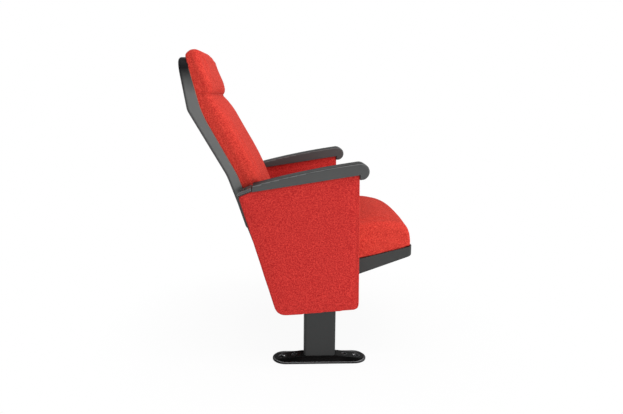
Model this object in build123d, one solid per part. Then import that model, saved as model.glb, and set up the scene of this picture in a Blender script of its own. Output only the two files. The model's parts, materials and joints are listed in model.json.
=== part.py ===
from build123d import *
import os
from math import asin, cos, degrees, hypot, pi, radians, sin, sqrt, tan

# Tip-up auditorium seat: two floor stands with upholstered side panels and armrests,
# a fixed back, and a seat that tips up on two side hinges.
# Millimetres. +X is the front, +Y the sitter's left, +Z up. The origin is on the
# floor, midway between the two feet. Side outlines are (x, z) pairs.

# ---- widths, from the middle of the seat outwards ----
seat_width = 494            # pan, cushions and back shell
hinge_gap = 18              # free space between the seat and each side panel
panel_half = 23             # one upholstered half of a side panel
web_thickness = 4           # steel plate between the two halves
arm_width = 65
flange_width = 46           # top flange of the steel plate, under the armrest

# ---- side panel and armrest, seen from the side ----
panel_corners = [(124.5, 174.5), (-138, 153.5), (-259, 544), (-219, 560), (118, 612.3)]
panel_radii = [18, 38, 6, 10, 3]
panel_edge = 4              # rounding of the upholstered edges
web_inset = 9               # steel plate inside the panel outline
flange_thickness = 4
arm_rear = -216
arm_rear_height = 20
arm_mid = (0, 629)
arm_front = (116, 648)
arm_nose = (146, 629)
arm_nose_low = (130, 597)
arm_edge = 7
arm_wall = 9
arm_ribs = 7
arm_rib = 2.5
arm_screw = 6
arm_screws_x = [-150, -20, 80]
panel_screw = 5
panel_screws_xz = [(80, 560), (85, 230), (-110, 200), (-195, 500)]

# ---- foot and post ----
foot_length = 306
foot_width = 86
foot_rim = 5                # height of the flange round the foot
foot_rim_edge = 2
foot_ledge = 2              # free width of the flange round the raised part
foot_crown = 17.5
foot_deck = 42              # width of the level top of the raised part
foot_deck_edge = 2.5
foot_deck_heights = [(100, 12), (150, 6)]   # beyond the pad under the post
foot_wall = 4.5
foot_post_pad = 8           # metal under the post
outer_bolt_spacing = 244    # floor bolts along the foot
outer_bolt_hole = 12
inner_bolt_spacing = 166
inner_bolt_hole = 9
post_length = 102           # along the foot
post_width = 38
post_wall = 2.5
post_corner = 9
post_top = 205
post_plate = 6
post_bolt = 12
post_bolt_spacing = 56

# ---- back, seen from the side ----
back_foot = (-186, 300)
back_leans = [(20.6, 320.5), (30.33, 241.0), (10.02, 169.6)]     # degrees from upright, length
back_bends = [150, 50]
parting_foot = (-150, 300)
parting_leans = [(20.6, 320.5), (29.2, 230.0), (14.9, 181.0)]
parting_bends = [200, 300]
back_corner = 55            # top corners, seen from the front
back_edge = 10              # rounding along the rear edges of the shell
shell_wall = 3.5
board_thickness = 10
shell_rib = 2.5
shell_ribs_y = [-120, 0, 120]
shell_ribs_z = [420, 560, 780]
shell_ribs_half = 215       # the level ribs stop short of the anchor strips
grip_rib_heights = [610, 632, 654]
grip_rib_radius = 4
back_screw = 6
back_screw_rows = [340, 690, 900]
back_screws_y = [-185, 185]

# ---- cushion of the back: (height, front, half width, corner) from low to high ----
back_pad = [(380, -168, 242, 4), (434, -154, 244, 20), (488, -142, 246, 24), (542, -157, 247, 24),
            (596, -180, 247, 24), (650, -205, 247, 24), (704, -235, 247, 24), (758, -266, 247, 24),
            (812, -298, 246, 24), (866, -335, 244, 20)]
head_pad = [(858, -333, 243, 20), (893, -329, 246, 24), (928, -343, 246, 24), (963, -357, 240, 24),
            (1000, -364, 232, 24)]
crease_round = 11           # rounding of both rolls into the crease
head_top_round = 20
head_round = 24             # rounding of the head roll towards the shell
wrap = (345, 400, 238, 4.5)     # cloth round the board below the cushion: low, high, half width, depth
pad_crown = 12              # how far the middle stands in front of the corners, at most
pad_draw = 4                # how far the sides are drawn in

# ---- bracket between the stand and the back ----
back_bolt = 6
back_bolts_z = [445, 510]
bolt_line = 17              # depth of the bolts in front of the shell's rear face
bracket_thickness = 8
bracket_screw = 8
bracket_screws_x = [-246, -232]
anchor_thickness = 4
anchor_width = 11

# ---- seat, seen from the side ----
pivot = (-55, 345)
tip_up_angle = 74
swing_radius = 100          # everything of the seat behind the pivot stays inside this
pan_front = (308, 332.5)
pan_knee = (136, 271)
pan_line = [(135, 323.5), (95, 319), (30, 374)]
pan_line_rise = 13.8        # degrees, towards the front
pan_line_radii = [150, 60, 60]
pan_corner = 16             # front corners, seen from above
pan_edge = 6
pan_wall = 3
seat_board_front = (288, 343)
seat_board_rear = -112
seat_board_slope = 8.2
seat_board_thickness = 12
pan_rib = 2.5
pan_ribs_y = [-120, -40, 40, 120]
pan_ribs_x = [-60, 40, 138, 235]
pan_ribs_half = 198
pan_screw = 6
pan_screws_at = [(x, y) for x in (40, 235) for y in (-120, 120)]
pan_boss = 12               # from the board down to a screw's head

# ---- cushion of the seat: (x, crest height, half width, corner) from rear to front ----
seat_pad = [(-152, 400, 236, 10), (-140, 420, 243, 16), (-110, 438, 247, 22), (-55, 447, 247, 26),
            (60, 454, 247, 28), (170, 462, 247, 28), (240, 463, 247, 28), (272, 458, 247, 28),
            (290, 446, 246, 26), (299.5, 427, 244, 22), (303.5, 400, 242, 14)]
seat_crown = 15
seat_draw = 3
seat_floor = 312            # where the crowned part begins

# ---- hinge ----
pin_diameter = 14
pin_head = 24
bush_wall = 3
bush_flange = 2
arm_plate = 6
hinge_plate = 5
hinge_bolt = 8
hinge_bolt_offsets = [(-30, -38), (48, -38), (48, 46), (-30, 46)]      # from the pivot
pin_nut = 26
arm_heel, arm_toe = -10, 150    # ends of the lever's lower bar
arm_flange = 4
arm_flange_width = 32
arm_ear_room = (100, 74)    # hollow in the cushion round the pivot: length, height
arm_fixing = 6
arm_fixings_x = [15, 70, 130]
sleeve_diameter = 22
spring_wire = 2.8
spring_radius = 17
spring_turns = 2.25
spring_gap = 0.46           # free space between turns
stop_orbit = 44
stop_angle = 8
stop_pin_diameter = 12
buffer_diameter = 12
stud_diameter = 6
lug_diameter = 8
lug_at = (-18.9, 18.6)      # from the pivot

# ---- fits ----
fit = 0.05                  # radial, where one piece is held in another
clearance = 0.3             # between pieces that only lie side by side
hole_clearance = 0.25       # radial, round a bolt

seat_side = seat_width / 2
panel_in = seat_side + hinge_gap
web_in = panel_in + panel_half
web_out = web_in + web_thickness
panel_out = web_out + panel_half
stand_middle = (web_in + web_out) / 2
pin_x, pin_z = pivot
pieces = {}


def keep(node, solids):
    """File one node under its name."""
    pieces[node] = solids


def keep_pair(node, left):
    """File a left-hand piece and its mirror image."""
    keep(node + "_left", left)
    keep(node + "_right", mirror(left, about=Plane.XZ))


def face_of(points, radii):
    """Closed outline with a rounding at each corner."""
    return make_face(FilletPolyline(*points, radius=radii, close=True))


def slab(outline, y_from, y_to):
    """A side outline made solid between two widths."""
    return Pos(0, y_to, 0) * extrude(Plane.XZ * outline, y_to - y_from)


def disc(x, z, diameter, y_from, y_to):
    """A round bar or hole across the seat."""
    return slab(Pos(x, z) * Circle(diameter / 2), y_from, y_to)


def upright(outline, z_from, z_to):
    """A plan outline made solid between two heights."""
    return Pos(0, 0, z_from) * extrude(outline, z_to - z_from)


def lean_line(start, leans):
    """Points of a line that climbs and leans back from its start."""
    points = [start]
    for lean, length in leans:
        x, z = points[-1]
        points.append((x - length * sin(radians(lean)), z + length * cos(radians(lean))))
    return points


def screw(head_diameter, head_height, shank_diameter, shank_length):
    """A domed screw on +Z: the shank hangs below z = 0 and the head stands on it."""
    head = Cylinder(head_diameter / 2, head_height, align=(Align.CENTER, Align.CENTER, Align.MIN))
    head = fillet(head.edges().sort_by(Axis.Z)[-1], 0.45 * head_height)
    shank = Cylinder(shank_diameter / 2, shank_length, align=(Align.CENTER, Align.CENTER, Align.MAX))
    return head + shank


def hex_screw(across_flats, head_height, shank_diameter, shank_length):
    """A hexagon screw on +Z, in the same place as the domed one."""
    head = extrude(RegularPolygon(across_flats / 2, 6, major_radius=False), head_height)
    shank = Cylinder(shank_diameter / 2, shank_length, align=(Align.CENTER, Align.CENTER, Align.MAX))
    return head + shank


def both_sides(solids):
    """The left-hand solids and their mirror images, as one group."""
    group = list(solids)
    return Compound(children=group + [mirror(solid, about=Plane.XZ) for solid in group])


# ------------------------------------------------------------------ foot and post
foot_bolts_x = [side * spacing / 2 for spacing in (outer_bolt_spacing, inner_bolt_spacing)
                for side in (-1, 1)]
foot_bolt_holes = [outer_bolt_hole, outer_bolt_hole, inner_bolt_hole, inner_bolt_hole]
post_bolts_x = [-post_bolt_spacing / 2, post_bolt_spacing / 2]
post_pad = post_length + 10


def foot_section(x, height, thinned):
    """Upright slice of the foot's raised part: a level deck with a sloped flank on each side."""
    base = foot_width / 2 - foot_ledge - thinned
    deck = (foot_deck - thinned) / 2
    low, high = foot_rim + 0.5 - thinned, height - thinned
    points = [(-base, 0), (base, 0), (base, low), (deck, high), (-deck, high), (-base, low)]
    slice = make_face(Polyline(*points, close=True))
    return Plane.YZ.offset(x) * fillet(slice.vertices().sort_by(Axis.Y)[-2:], foot_deck_edge)


def foot_ridge(thinned):
    """Raised part of the foot, or its hollow: level under the post, falling to both ends."""
    heights = [(post_pad / 2, foot_crown), *foot_deck_heights]
    slopes = [loft([foot_section(side * x, height, thinned) for x, height in heights])
              for side in (-1, 1)]
    middle = loft([foot_section(side * post_pad / 2, foot_crown, thinned) for side in (-1, 1)])
    inset = 2 * foot_ledge + 2 * thinned
    plan = SlotOverall(foot_length - 2 * inset, foot_width - inset)
    return (slopes[0] + middle + slopes[1]) & upright(plan, 0, foot_crown)


def foot():
    """Cast foot: a flange with a raised ridge, hollow below, with a boss for each floor bolt."""
    flange = upright(SlotOverall(foot_length, foot_width), 0, foot_rim)
    flange = fillet(flange.faces().sort_by(Axis.Z)[-1].edges(), foot_rim_edge)
    core = foot_ridge(foot_wall)
    core -= upright(Rectangle(foot_length, foot_wall), 0, foot_crown)
    for x, hole in zip(foot_bolts_x, foot_bolt_holes):
        core -= upright(Pos(x, 0) * Circle(hole / 2 + foot_wall), 0, foot_crown)
    core -= upright(Rectangle(post_pad, foot_width), foot_crown - foot_post_pad, foot_crown)
    body = flange + foot_ridge(0) - core
    for x, hole in zip(foot_bolts_x, foot_bolt_holes):
        body -= upright(Pos(x, 0) * Circle(hole / 2), 0, foot_crown)
        seat_height = foot_rim + 0.35 * (foot_crown - foot_rim) * (abs(x) < outer_bolt_spacing / 2)
        body -= upright(Pos(x, 0) * Circle(hole * 0.9), seat_height, foot_crown)
    for x in post_bolts_x:
        body -= upright(Pos(x, 0) * Circle(post_bolt / 2 + hole_clearance), 0, foot_crown)
        body -= upright(Pos(x, 0) * Circle(post_bolt), 0, foot_crown - foot_post_pad)
    return Pos(0, stand_middle, 0) * body


def post_outline(inset):
    """Plan outline of the post, or of its bore."""
    return RectangleRounded(post_length - 2 * inset, post_width - 2 * inset, post_corner - inset)


tongue_length = post_length - 36
tongue_bottom = post_top - 50


def post():
    """Welded post: a flat tube with a bolt plate below and a slotted cap above."""
    tube = upright(post_outline(0) - post_outline(post_wall), foot_crown, post_top)
    plate = upright(post_outline(post_wall), foot_crown, foot_crown + 1.5 * post_plate)
    cap = upright(post_outline(post_wall), post_top - post_plate, post_top)
    body = tube + plate + cap
    for x in post_bolts_x:
        body -= upright(Pos(x, 0) * Circle(post_bolt / 2 + fit), foot_crown, foot_crown + 2 * post_plate)
    body -= upright(Rectangle(tongue_length + 2 * fit, web_thickness + 2 * fit),
                    post_top - post_plate, post_top)
    return Pos(0, stand_middle, 0) * body


def post_bolts():
    """Two bolts a side, up through the foot into the post."""
    bolt = Rot(180, 0, 0) * hex_screw(1.5 * post_bolt, 0.6 * post_bolt, post_bolt,
                                      foot_post_pad + 1.4 * post_plate)
    bolt_seat = foot_crown - foot_post_pad
    return both_sides([Pos(x, stand_middle, bolt_seat) * bolt for x in post_bolts_x])


# ------------------------------------------------------------------ side panel
(front_low, rear_low, rear_top, arm_end, front_top) = panel_corners
top_slope = degrees(asin((front_top[1] - arm_end[1]) / hypot(front_top[0] - arm_end[0],
                                                           front_top[1] - arm_end[1])))
rear_slope = degrees(asin((arm_end[1] - rear_top[1]) / hypot(arm_end[0] - rear_top[0],
                                                           arm_end[1] - rear_top[1])))


def top_point(x, lift=0):
    """Point of the panel's top edge, or above it."""
    slope = top_slope if x >= arm_end[0] else rear_slope
    return (x, arm_end[1] + (x - arm_end[0]) * tan(radians(slope)) + lift)


def on_top(x):
    """Place on the middle of the panel's top edge, with its Z square to that edge."""
    slope = top_slope if x >= arm_end[0] else rear_slope
    return Pos(x, stand_middle, top_point(x)[1]) * Rot(0, -slope, 0)


hinge_bolts_xz = [(pin_x + x, pin_z + z) for x, z in hinge_bolt_offsets]
nut_room = 9
pin_end = panel_in + 12


def panel_body(y_from, y_to, outer_face):
    """One half of the upholstered panel, rounded on its outer face, with the post's pocket."""
    body = slab(face_of(panel_corners, panel_radii), y_from, y_to)
    body = fillet(body.faces().filter_by(Plane.XZ).sort_by(Axis.Y)[outer_face].edges(), panel_edge)
    body -= Pos(0, stand_middle, 0) * upright(post_outline(-clearance), 0, post_top + clearance)
    for x in arm_screws_x:
        body -= on_top(x) * Cylinder(arm_screw + 1, 2 * arm_screw)
    for x in bracket_screws_x:
        body -= on_top(x) * Cylinder(0.7 * bracket_screw, 4 * bracket_screw)
    for x, z in panel_screws_xz:
        body -= disc(x, z, panel_screw + 2 * fit, web_in - panel_half, web_out + 0.6 * panel_half)
        body -= disc(x, z, 2.2 * panel_screw, panel_in, panel_in + 0.6 * panel_screw)
    for x, z in hinge_bolts_xz:
        body -= disc(x, z, hinge_bolt + 2 * hole_clearance, panel_in, web_out + 1.4 * hinge_bolt)
        body -= disc(x, z, 2 * hinge_bolt + 2, web_out, web_out + nut_room)
    body -= disc(pin_x, pin_z, pin_nut + 8, panel_in, pin_end + 2)
    return body


def panel_inner():
    return panel_body(panel_in, web_in, 0)


def panel_outer():
    return panel_body(web_out, panel_out, -1)


def web():
    """Steel plate between the panel halves, with its top flange and weld nuts."""
    plate = slab(offset(face_of(panel_corners, panel_radii), -web_inset), web_in, web_out)
    top_band = [arm_end, (front_top[0] - 16, front_top[1] - 2.5), (front_top[0] - 16, front_top[1] - 40),
                (arm_end[0] + 10, arm_end[1] - 40), (rear_top[0] + 16, rear_top[1] - 10),
                (rear_top[0] + 6, rear_top[1] + 2.5)]
    plate += slab(make_face(Polyline(*top_band, close=True)), web_in, web_out)
    plate -= upright(Rectangle(post_length + 2 * clearance, 4 * panel_out), 0, post_top + clearance)
    tongue = upright(Rectangle(tongue_length, web_thickness), tongue_bottom, post_top + 2 * clearance)
    plate += Pos(0, stand_middle, 0) * tongue
    flange_line = [top_point(rear_top[0] + 4), arm_end, top_point(front_top[0] - 12)]
    lifted = [(x, z + flange_thickness) for x, z in reversed(flange_line)]
    flange = slab(make_face(Polyline(*flange_line, *lifted, close=True)),
                  stand_middle - flange_width / 2, stand_middle + flange_width / 2)
    body = plate + flange
    for x, z in hinge_bolts_xz:
        nut = Pos(x, z) * RegularPolygon(0.8 * hinge_bolt, 6, major_radius=False)
        body += slab(nut, web_out, web_out + 0.8 * hinge_bolt)
        body -= disc(x, z, hinge_bolt + 2 * fit, web_in, web_out + hinge_bolt)
    for x, z in panel_screws_xz:
        body -= disc(x, z, panel_screw + 2 * hole_clearance, web_in, web_out)
    for x in arm_screws_x:
        body -= on_top(x) * Cylinder(arm_screw / 2 + hole_clearance, 4 * flange_thickness)
        body -= on_top(x) * Pos(0, 0, -arm_screw) * Cylinder(arm_screw, 2 * arm_screw)
    for x in bracket_screws_x:
        body -= on_top(x) * Cylinder(bracket_screw / 2 + fit, 4 * bracket_screw)
    return body


def panel_screws():
    """Countersunk screws from the inner half, through the plate, into the outer half."""
    length = panel_half + web_thickness + 0.5 * panel_half
    shank = Cylinder(panel_screw / 2, length, align=(Align.CENTER, Align.CENTER, Align.MIN))
    head = Cylinder(panel_screw, 0.5 * panel_screw, align=(Align.CENTER, Align.CENTER, Align.MIN))
    one = Rot(-90, 0, 0) * (Pos(0, 0, 0.1 * panel_screw) * head + shank)
    return both_sides([Pos(x, panel_in, z) * one for x, z in panel_screws_xz])


# ------------------------------------------------------------------ armrest
def arm_outline():
    """Side outline of the armrest: the rounded upper run, then the straight lower one."""
    rear_bottom = top_point(arm_rear)
    rear_top_point = (arm_rear + 2, rear_bottom[1] + arm_rear_height)
    nose_back = (front_top[0] + 0.5, arm_nose_low[1] - 1)
    front_bottom = (nose_back[0], front_top[1] + 0.5 * tan(radians(top_slope)))
    crest = ThreePointArc(rear_top_point, arm_mid, arm_front)
    nose = TangentArc(arm_front, arm_nose, tangent=crest % 1)
    chin = TangentArc(arm_nose, arm_nose_low, tangent=nose % 1)
    lower = Polyline(arm_nose_low, nose_back, front_bottom, rear_bottom, rear_top_point)
    return [crest, nose, chin, lower]


def armrest():
    """Moulded armrest with a pocket under it for the flange, crossed by ribs."""
    y_in, y_out = stand_middle - arm_width / 2, stand_middle + arm_width / 2
    body = slab(make_face(arm_outline()), y_in, y_out)
    body = fillet(body.edges().filter_by(GeomType.CIRCLE), arm_edge)
    rear, front = arm_rear + arm_wall, front_top[0] - arm_wall
    over_flange = flange_thickness + clearance
    pocket_side = [top_point(arm_rear - 1, -1), top_point(front, -1), top_point(front, 22),
                   (arm_mid[0], arm_mid[1] - 12), top_point(rear, 12), top_point(rear, over_flange),
                   (arm_rear - 1, arm_end[1] + over_flange + 1)]
    y_pocket = flange_width / 2 + 2 * clearance
    pocket = slab(make_face(Polyline(*pocket_side, close=True)),
                  stand_middle - y_pocket, stand_middle + y_pocket)
    for number in range(1, arm_ribs + 1):
        x = rear + number * (front - rear) / (arm_ribs + 1)
        rib = Pos(x, stand_middle, 600) * Box(arm_rib, 2 * y_pocket, 200)
        pocket -= rib - on_top(x) * Pos(0, 0, -50) * Box(60, 100, 100 + 2 * over_flange)
    for x in arm_screws_x:
        boss = on_top(x) * Cylinder(arm_screw, 100)
        pocket -= boss - on_top(x) * Pos(0, 0, -50) * Box(60, 100, 100 + 2 * flange_thickness)
    body -= pocket
    for x in arm_screws_x:
        body -= on_top(x) * Cylinder(arm_screw / 2 + fit, 34)
    return body


def arm_screws():
    """Screws from below, through the flange, into the armrest's bosses."""
    one = Rot(180, 0, 0) * screw(1.9 * arm_screw, 0.55 * arm_screw, arm_screw, flange_thickness + 11)
    return both_sides([on_top(x) * one for x in arm_screws_x])


# ------------------------------------------------------------------ back
rear_points = lean_line(back_foot, back_leans)
parting_points = lean_line(parting_foot, parting_leans)
back_top = rear_points[-1][1]


def behind_parting(shift):
    """Everything behind the line where shell and cushion meet, moved forward by shift."""
    line = [(x + shift, z) for x, z in parting_points]
    step = 60
    low = (line[0][0] + step * sin(radians(parting_leans[0][0])),
           line[0][1] - step * cos(radians(parting_leans[0][0])))
    high = (line[-1][0] - step * sin(radians(parting_leans[-1][0])),
            line[-1][1] + step * cos(radians(parting_leans[-1][0])))
    points = [low, line[1], line[2], high, (-700, high[1]), (-700, low[1])]
    return slab(face_of(points, [0, *parting_bends, 0, 0, 0]), -seat_width, seat_width)


def back_block(inset):
    """Outer form of the back shell, or of its hollow, open towards the front."""
    points = [(0, back_foot[1]), *rear_points, (0, back_top)]
    side = offset(face_of(points, [0, 0, *back_bends, 0, 0]), -inset)
    half = seat_side - inset
    height = back_top - back_foot[1]
    front = Pos(0, back_foot[1] + height / 2) * Rectangle(2 * half, height - 2 * inset)
    front = fillet(front.vertices().group_by(Axis.Y)[-1], back_corner - inset)
    front = fillet(front.vertices().group_by(Axis.Y)[0], back_edge)
    block = slab(side, -half, half) & Pos(-700, 0, 0) * extrude(Plane.YZ * front, 700)
    rear_faces = [face for face in block.faces() if face.normal_at().X < -0.5]
    rear_rim = [edge for face in rear_faces for edge in face.edges()
                if sum(edge.is_same(other) for one in rear_faces for other in one.edges()) == 1]
    return fillet(rear_rim, back_edge - inset)


def rear_place(z, y):
    """Place on the rear face of the shell, with Z pointing backwards out of it."""
    for (x0, z0), (x1, z1), (lean, _) in zip(rear_points, rear_points[1:], back_leans):
        if z <= z1:
            break
    x = x0 + (z - z0) * (x1 - x0) / (z1 - z0)
    return Pos(x, y, z) * Rot(0, -90 - lean, 0)


def back_shell():
    """Moulded shell behind the cushion: open at the front, ribbed inside."""
    outer = back_block(0)
    hollow = back_block(shell_wall)
    front = behind_parting(0)
    uprights = [Pos(-300, y, 640) * Box(500, shell_rib, 700) for y in shell_ribs_y]
    levels = [Pos(-300, 0, z) * Box(500, 2 * shell_ribs_half, shell_rib) for z in shell_ribs_z]
    bosses = [rear_place(z, y) * Pos(0, 0, -30) * Cylinder(back_screw, 60)
              for z in back_screw_rows for y in back_screws_y]
    lattice = Part() + [*uprights, *levels, *bosses]
    ribs = hollow & lattice & behind_parting(-board_depth - clearance)
    body = (outer & front) - hollow + ribs
    for z in grip_rib_heights:
        rib = Rot(90, 0, 0) * Cylinder(grip_rib_radius, seat_width - 2 * back_corner)
        body += (rear_place(z, 0) * Pos(0, 0, -1) * rib) - hollow
    for z in back_screw_rows:
        for y in back_screws_y:
            body -= rear_place(z, y) * Cylinder(back_screw / 2 + hole_clearance, 80)
    for x, z in back_bolts_xz:
        body -= disc(x, z, back_bolt + 2 * hole_clearance, -seat_side, seat_side)
    return body


def back_board():
    """Bent plywood board inside the rim of the shell, which carries the cushion."""
    block = back_block(shell_wall + clearance)
    board = (block & behind_parting(0)) - behind_parting(-board_depth)
    for z in back_screw_rows:
        for y in back_screws_y:
            board -= rear_place(z, y) * Cylinder(back_screw / 2 + fit, 90)
    return board


def back_screws():
    """Domed screws from behind, through the shell, into the board."""
    one = screw(2.3 * back_screw, 0.5 * back_screw, back_screw, 30)
    return Compound(children=[rear_place(z, y) * one for z in back_screw_rows for y in back_screws_y])


def pad_section(level, front, half, corner):
    """Level slice of the back cushion: straight rear, drawn-in sides, crowned front."""
    draw = pad_draw
    rear = parting_x(level) - 14
    crown = min(pad_crown, 0.3 * (front - rear - 14))
    side_end = front - crown - corner
    bend = corner * (1 - 1 / sqrt(2))
    edges = [Line((rear, half), (rear, -half)),
             ThreePointArc((rear, -half), ((rear + side_end) / 2, draw - half), (side_end, -half)),
             ThreePointArc((side_end, -half), (front - crown - bend, bend - half),
                           (front - crown, corner - half)),
             ThreePointArc((front - crown, corner - half), (front, 0), (front - crown, half - corner)),
             ThreePointArc((front - crown, half - corner), (front - crown - bend, half - bend),
                           (side_end, half)),
             ThreePointArc((side_end, half), ((rear + side_end) / 2, half - draw), (rear, half))]
    return Pos(0, 0, level) * make_face(edges)


board_depth = board_thickness / cos(radians(parting_leans[0][0]))       # along X


def parting_x(z):
    """Where the shell and cushion meet, at one height."""
    for (x0, z0), (x1, z1) in zip(parting_points, parting_points[1:]):
        if z <= z1:
            break
    return x0 + (z - z0) * (x1 - x0) / (z1 - z0)


def back_cushion():
    """Cushion with a head roll above a sewn crease, and the thin cloth wrap below it."""
    roll, head = [loft([pad_section(*station) for station in stations]) for stations in (back_pad, head_pad)]
    roll = fillet(roll.faces().sort_by(Axis.Z)[-1].edges().sort_by(Axis.X)[1:], crease_round)
    head = fillet(head.faces().sort_by(Axis.Z)[0].edges().sort_by(Axis.X)[1:], crease_round)
    head = fillet(head.faces().sort_by(Axis.Z)[-1].edges(), head_top_round)
    high = head_pad[-1][0]
    head_side = [(parting_x(800), 800), (parting_x(high), high), (-300, high), (-300, 800)]
    head &= slab(face_of(head_side, [0, head_round, 0, 0]), -seat_width, seat_width)
    low, wrap_high, wrap_half, wrap_depth = wrap
    strip = slab(Pos(-200, (low + wrap_high) / 2) * Rectangle(300, wrap_high - low), -wrap_half, wrap_half)
    return (roll + head + (strip & behind_parting(wrap_depth))) - behind_parting(clearance)


# ------------------------------------------------------------------ back brackets
def shell_depth_x(z, depth):
    """X of a point inside the lower part of the shell, at a depth from its rear face."""
    lean = radians(back_leans[0][0])
    return back_foot[0] - (z - back_foot[1]) * tan(lean) + depth / cos(lean)


back_bolts_xz = [(shell_depth_x(z, bolt_line), z) for z in back_bolts_z]


def bracket():
    """Steel angle from the flange behind the armrest to the side of the back."""
    seat_line = [top_point(x, flange_thickness) for x in (rear_top[0] - 4, arm_end[0])]
    over = [(x, z + bracket_thickness) for x, z in reversed(seat_line)]
    tread = slab(make_face(Polyline(*seat_line, *over, close=True)), seat_side, panel_out - 1)
    (bx0, bz0), (bx1, bz1) = back_bolts_xz
    lug_points = [over[1], over[0], (bx1 + 18, bz1), (bx0 + 16, bz0 - 14), (bx0 - 14, bz0 - 14),
                  (bx1 - 16, bz1)]
    lug = slab(face_of(lug_points, [0, 4, 12, 12, 12, 12]), seat_side, seat_side + bracket_thickness)
    body = tread + lug
    for x in bracket_screws_x:
        body -= on_top(x) * Cylinder(bracket_screw / 2 + hole_clearance, 60)
    for x, z in back_bolts_xz:
        body -= disc(x, z, back_bolt + 2 * hole_clearance, seat_side, seat_side + bracket_thickness)
    return body


def bracket_screws():
    """Two screws a side, down through the bracket into the flange."""
    one = screw(12, 3.5, bracket_screw, bracket_thickness + flange_thickness + 3)
    lift = (bracket_thickness + flange_thickness) * cos(radians(rear_slope))
    return both_sides([on_top(x) * Pos(0, 0, lift) * one for x in bracket_screws_x])


def anchor():
    """Steel strip inside the side wall of the shell, with the weld nuts of the back bolts."""
    y_out = seat_side - shell_wall
    (bx0, bz0), (bx1, bz1) = back_bolts_xz
    strip = SlotCenterToCenter(hypot(bx1 - bx0, bz1 - bz0) + 30, anchor_width)
    middle = ((bx0 + bx1) / 2, (bz0 + bz1) / 2)
    strip = Pos(*middle) * Rot(0, 0, 90 + back_leans[0][0]) * strip
    body = slab(strip, y_out - anchor_thickness, y_out)
    for x, z in back_bolts_xz:
        nut = Pos(x, z) * RegularPolygon(0.8 * back_bolt, 6, major_radius=False)
        body += slab(nut, y_out - anchor_thickness - 0.8 * back_bolt, y_out - anchor_thickness)
        body -= disc(x, z, back_bolt + 2 * fit, 0, y_out)
    return body


def back_bolts():
    """Hexagon screws through the bracket and the shell into the anchor's nuts."""
    one = Rot(-90, 0, 0) * hex_screw(1.6 * back_bolt, 0.65 * back_bolt, back_bolt,
                                     bracket_thickness + shell_wall + anchor_thickness + 5)
    return both_sides([Pos(x, seat_side + bracket_thickness, z) * one for x, z in back_bolts_xz])


# ------------------------------------------------------------------ seat
def board_top(x):
    """Height of the seat board's upper face."""
    return seat_board_front[1] - (seat_board_front[0] - x) * tan(radians(seat_board_slope))


def on_board(x, y, drop=0):
    """Place under the seat board, with its Z square to the board."""
    under = board_top(x) - seat_board_thickness
    return Pos(x, y, under) * Rot(0, -seat_board_slope, 0) * Pos(0, 0, -drop)


def above_board(gap):
    """Everything over the seat board's upper face, kept a gap away from it."""
    points = [(-170, board_top(-170) + gap), (-170, 600), (330, 600), (330, board_top(330) + gap)]
    return slab(make_face(Polyline(*points, close=True)), -seat_width, seat_width)


def below_pan_line(shift):
    """Everything under the line where pan and cushion meet, moved up by shift."""
    line = [(x, z + shift) for x, z in pan_line]
    points = [(360, 200), (360, line[0][1] + 225 * tan(radians(pan_line_rise))), *line,
              (-200, 402 + shift), (-200, 200)]
    return slab(face_of(points, [0, 0, *pan_line_radii, 0, 0]), -seat_width, seat_width)


def at_swing(angle):
    """Point on the circle round the pivot that the rear of the seat stays inside."""
    return (pin_x - swing_radius * cos(radians(angle)), pin_z - swing_radius * sin(radians(angle)))


def seat_block(inset):
    """Outer form of the seat pan, or of its hollow, open upwards."""
    shoulder, under = at_swing(-30), at_swing(90)
    high = 480
    edges = [TangentArc(under, pan_knee, tangent=(1, 0)),
             Polyline(pan_knee, pan_front, (pan_front[0], high), (shoulder[0], high), shoulder),
             ThreePointArc(shoulder, at_swing(0), at_swing(45)),
             ThreePointArc(at_swing(45), at_swing(70), under)]
    side = offset(make_face(edges), -inset)
    length = pan_front[0] - pin_x + swing_radius - 2 * inset
    half = seat_side - inset
    plan = Pos(pan_front[0] - inset - length / 2, 0) * Rectangle(length, 2 * half)
    plan = fillet(plan.vertices().group_by(Axis.X)[-1], pan_corner - inset)
    return slab(side, -half, half) & upright(plan, 200, high)


def soften_below(block, half, radius):
    """Round the two long lower edges of the seat's outer form, or of its hollow."""
    long_edges = [edge for edge in block.edges()
                  if abs(abs(edge.center().Y) - half) < 0.01 and abs(edge.tangent_at(0.5).X) > 0.3
                  and edge.center().X > pin_x and edge.center().Z < pan_front[1] + pan_wall + 1]
    return fillet(long_edges, radius)


def board_plan():
    """Plan outline of the seat board."""
    length = seat_board_front[0] - seat_board_rear
    plan = Pos(seat_board_rear + length / 2, 0) * Rectangle(length, 2 * board_half)
    return fillet(plan.vertices().group_by(Axis.X)[-1], pan_corner - 6)


def below_board():
    """Everything under the seat board, for trimming the ribs to it."""
    points = [(-170, board_top(-170) - seat_board_thickness), (-170, 200), (330, 200),
              (330, board_top(330) - seat_board_thickness)]
    return slab(make_face(Polyline(*points, close=True)), -seat_width, seat_width)


stop_x = pin_x + stop_orbit * cos(radians(stop_angle))
stop_z = pin_z + stop_orbit * sin(radians(stop_angle))
plate_out = seat_side - pan_wall
plate_in = plate_out - arm_plate
board_half = plate_in - 4
arm_fixing_y = plate_in - 18


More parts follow.
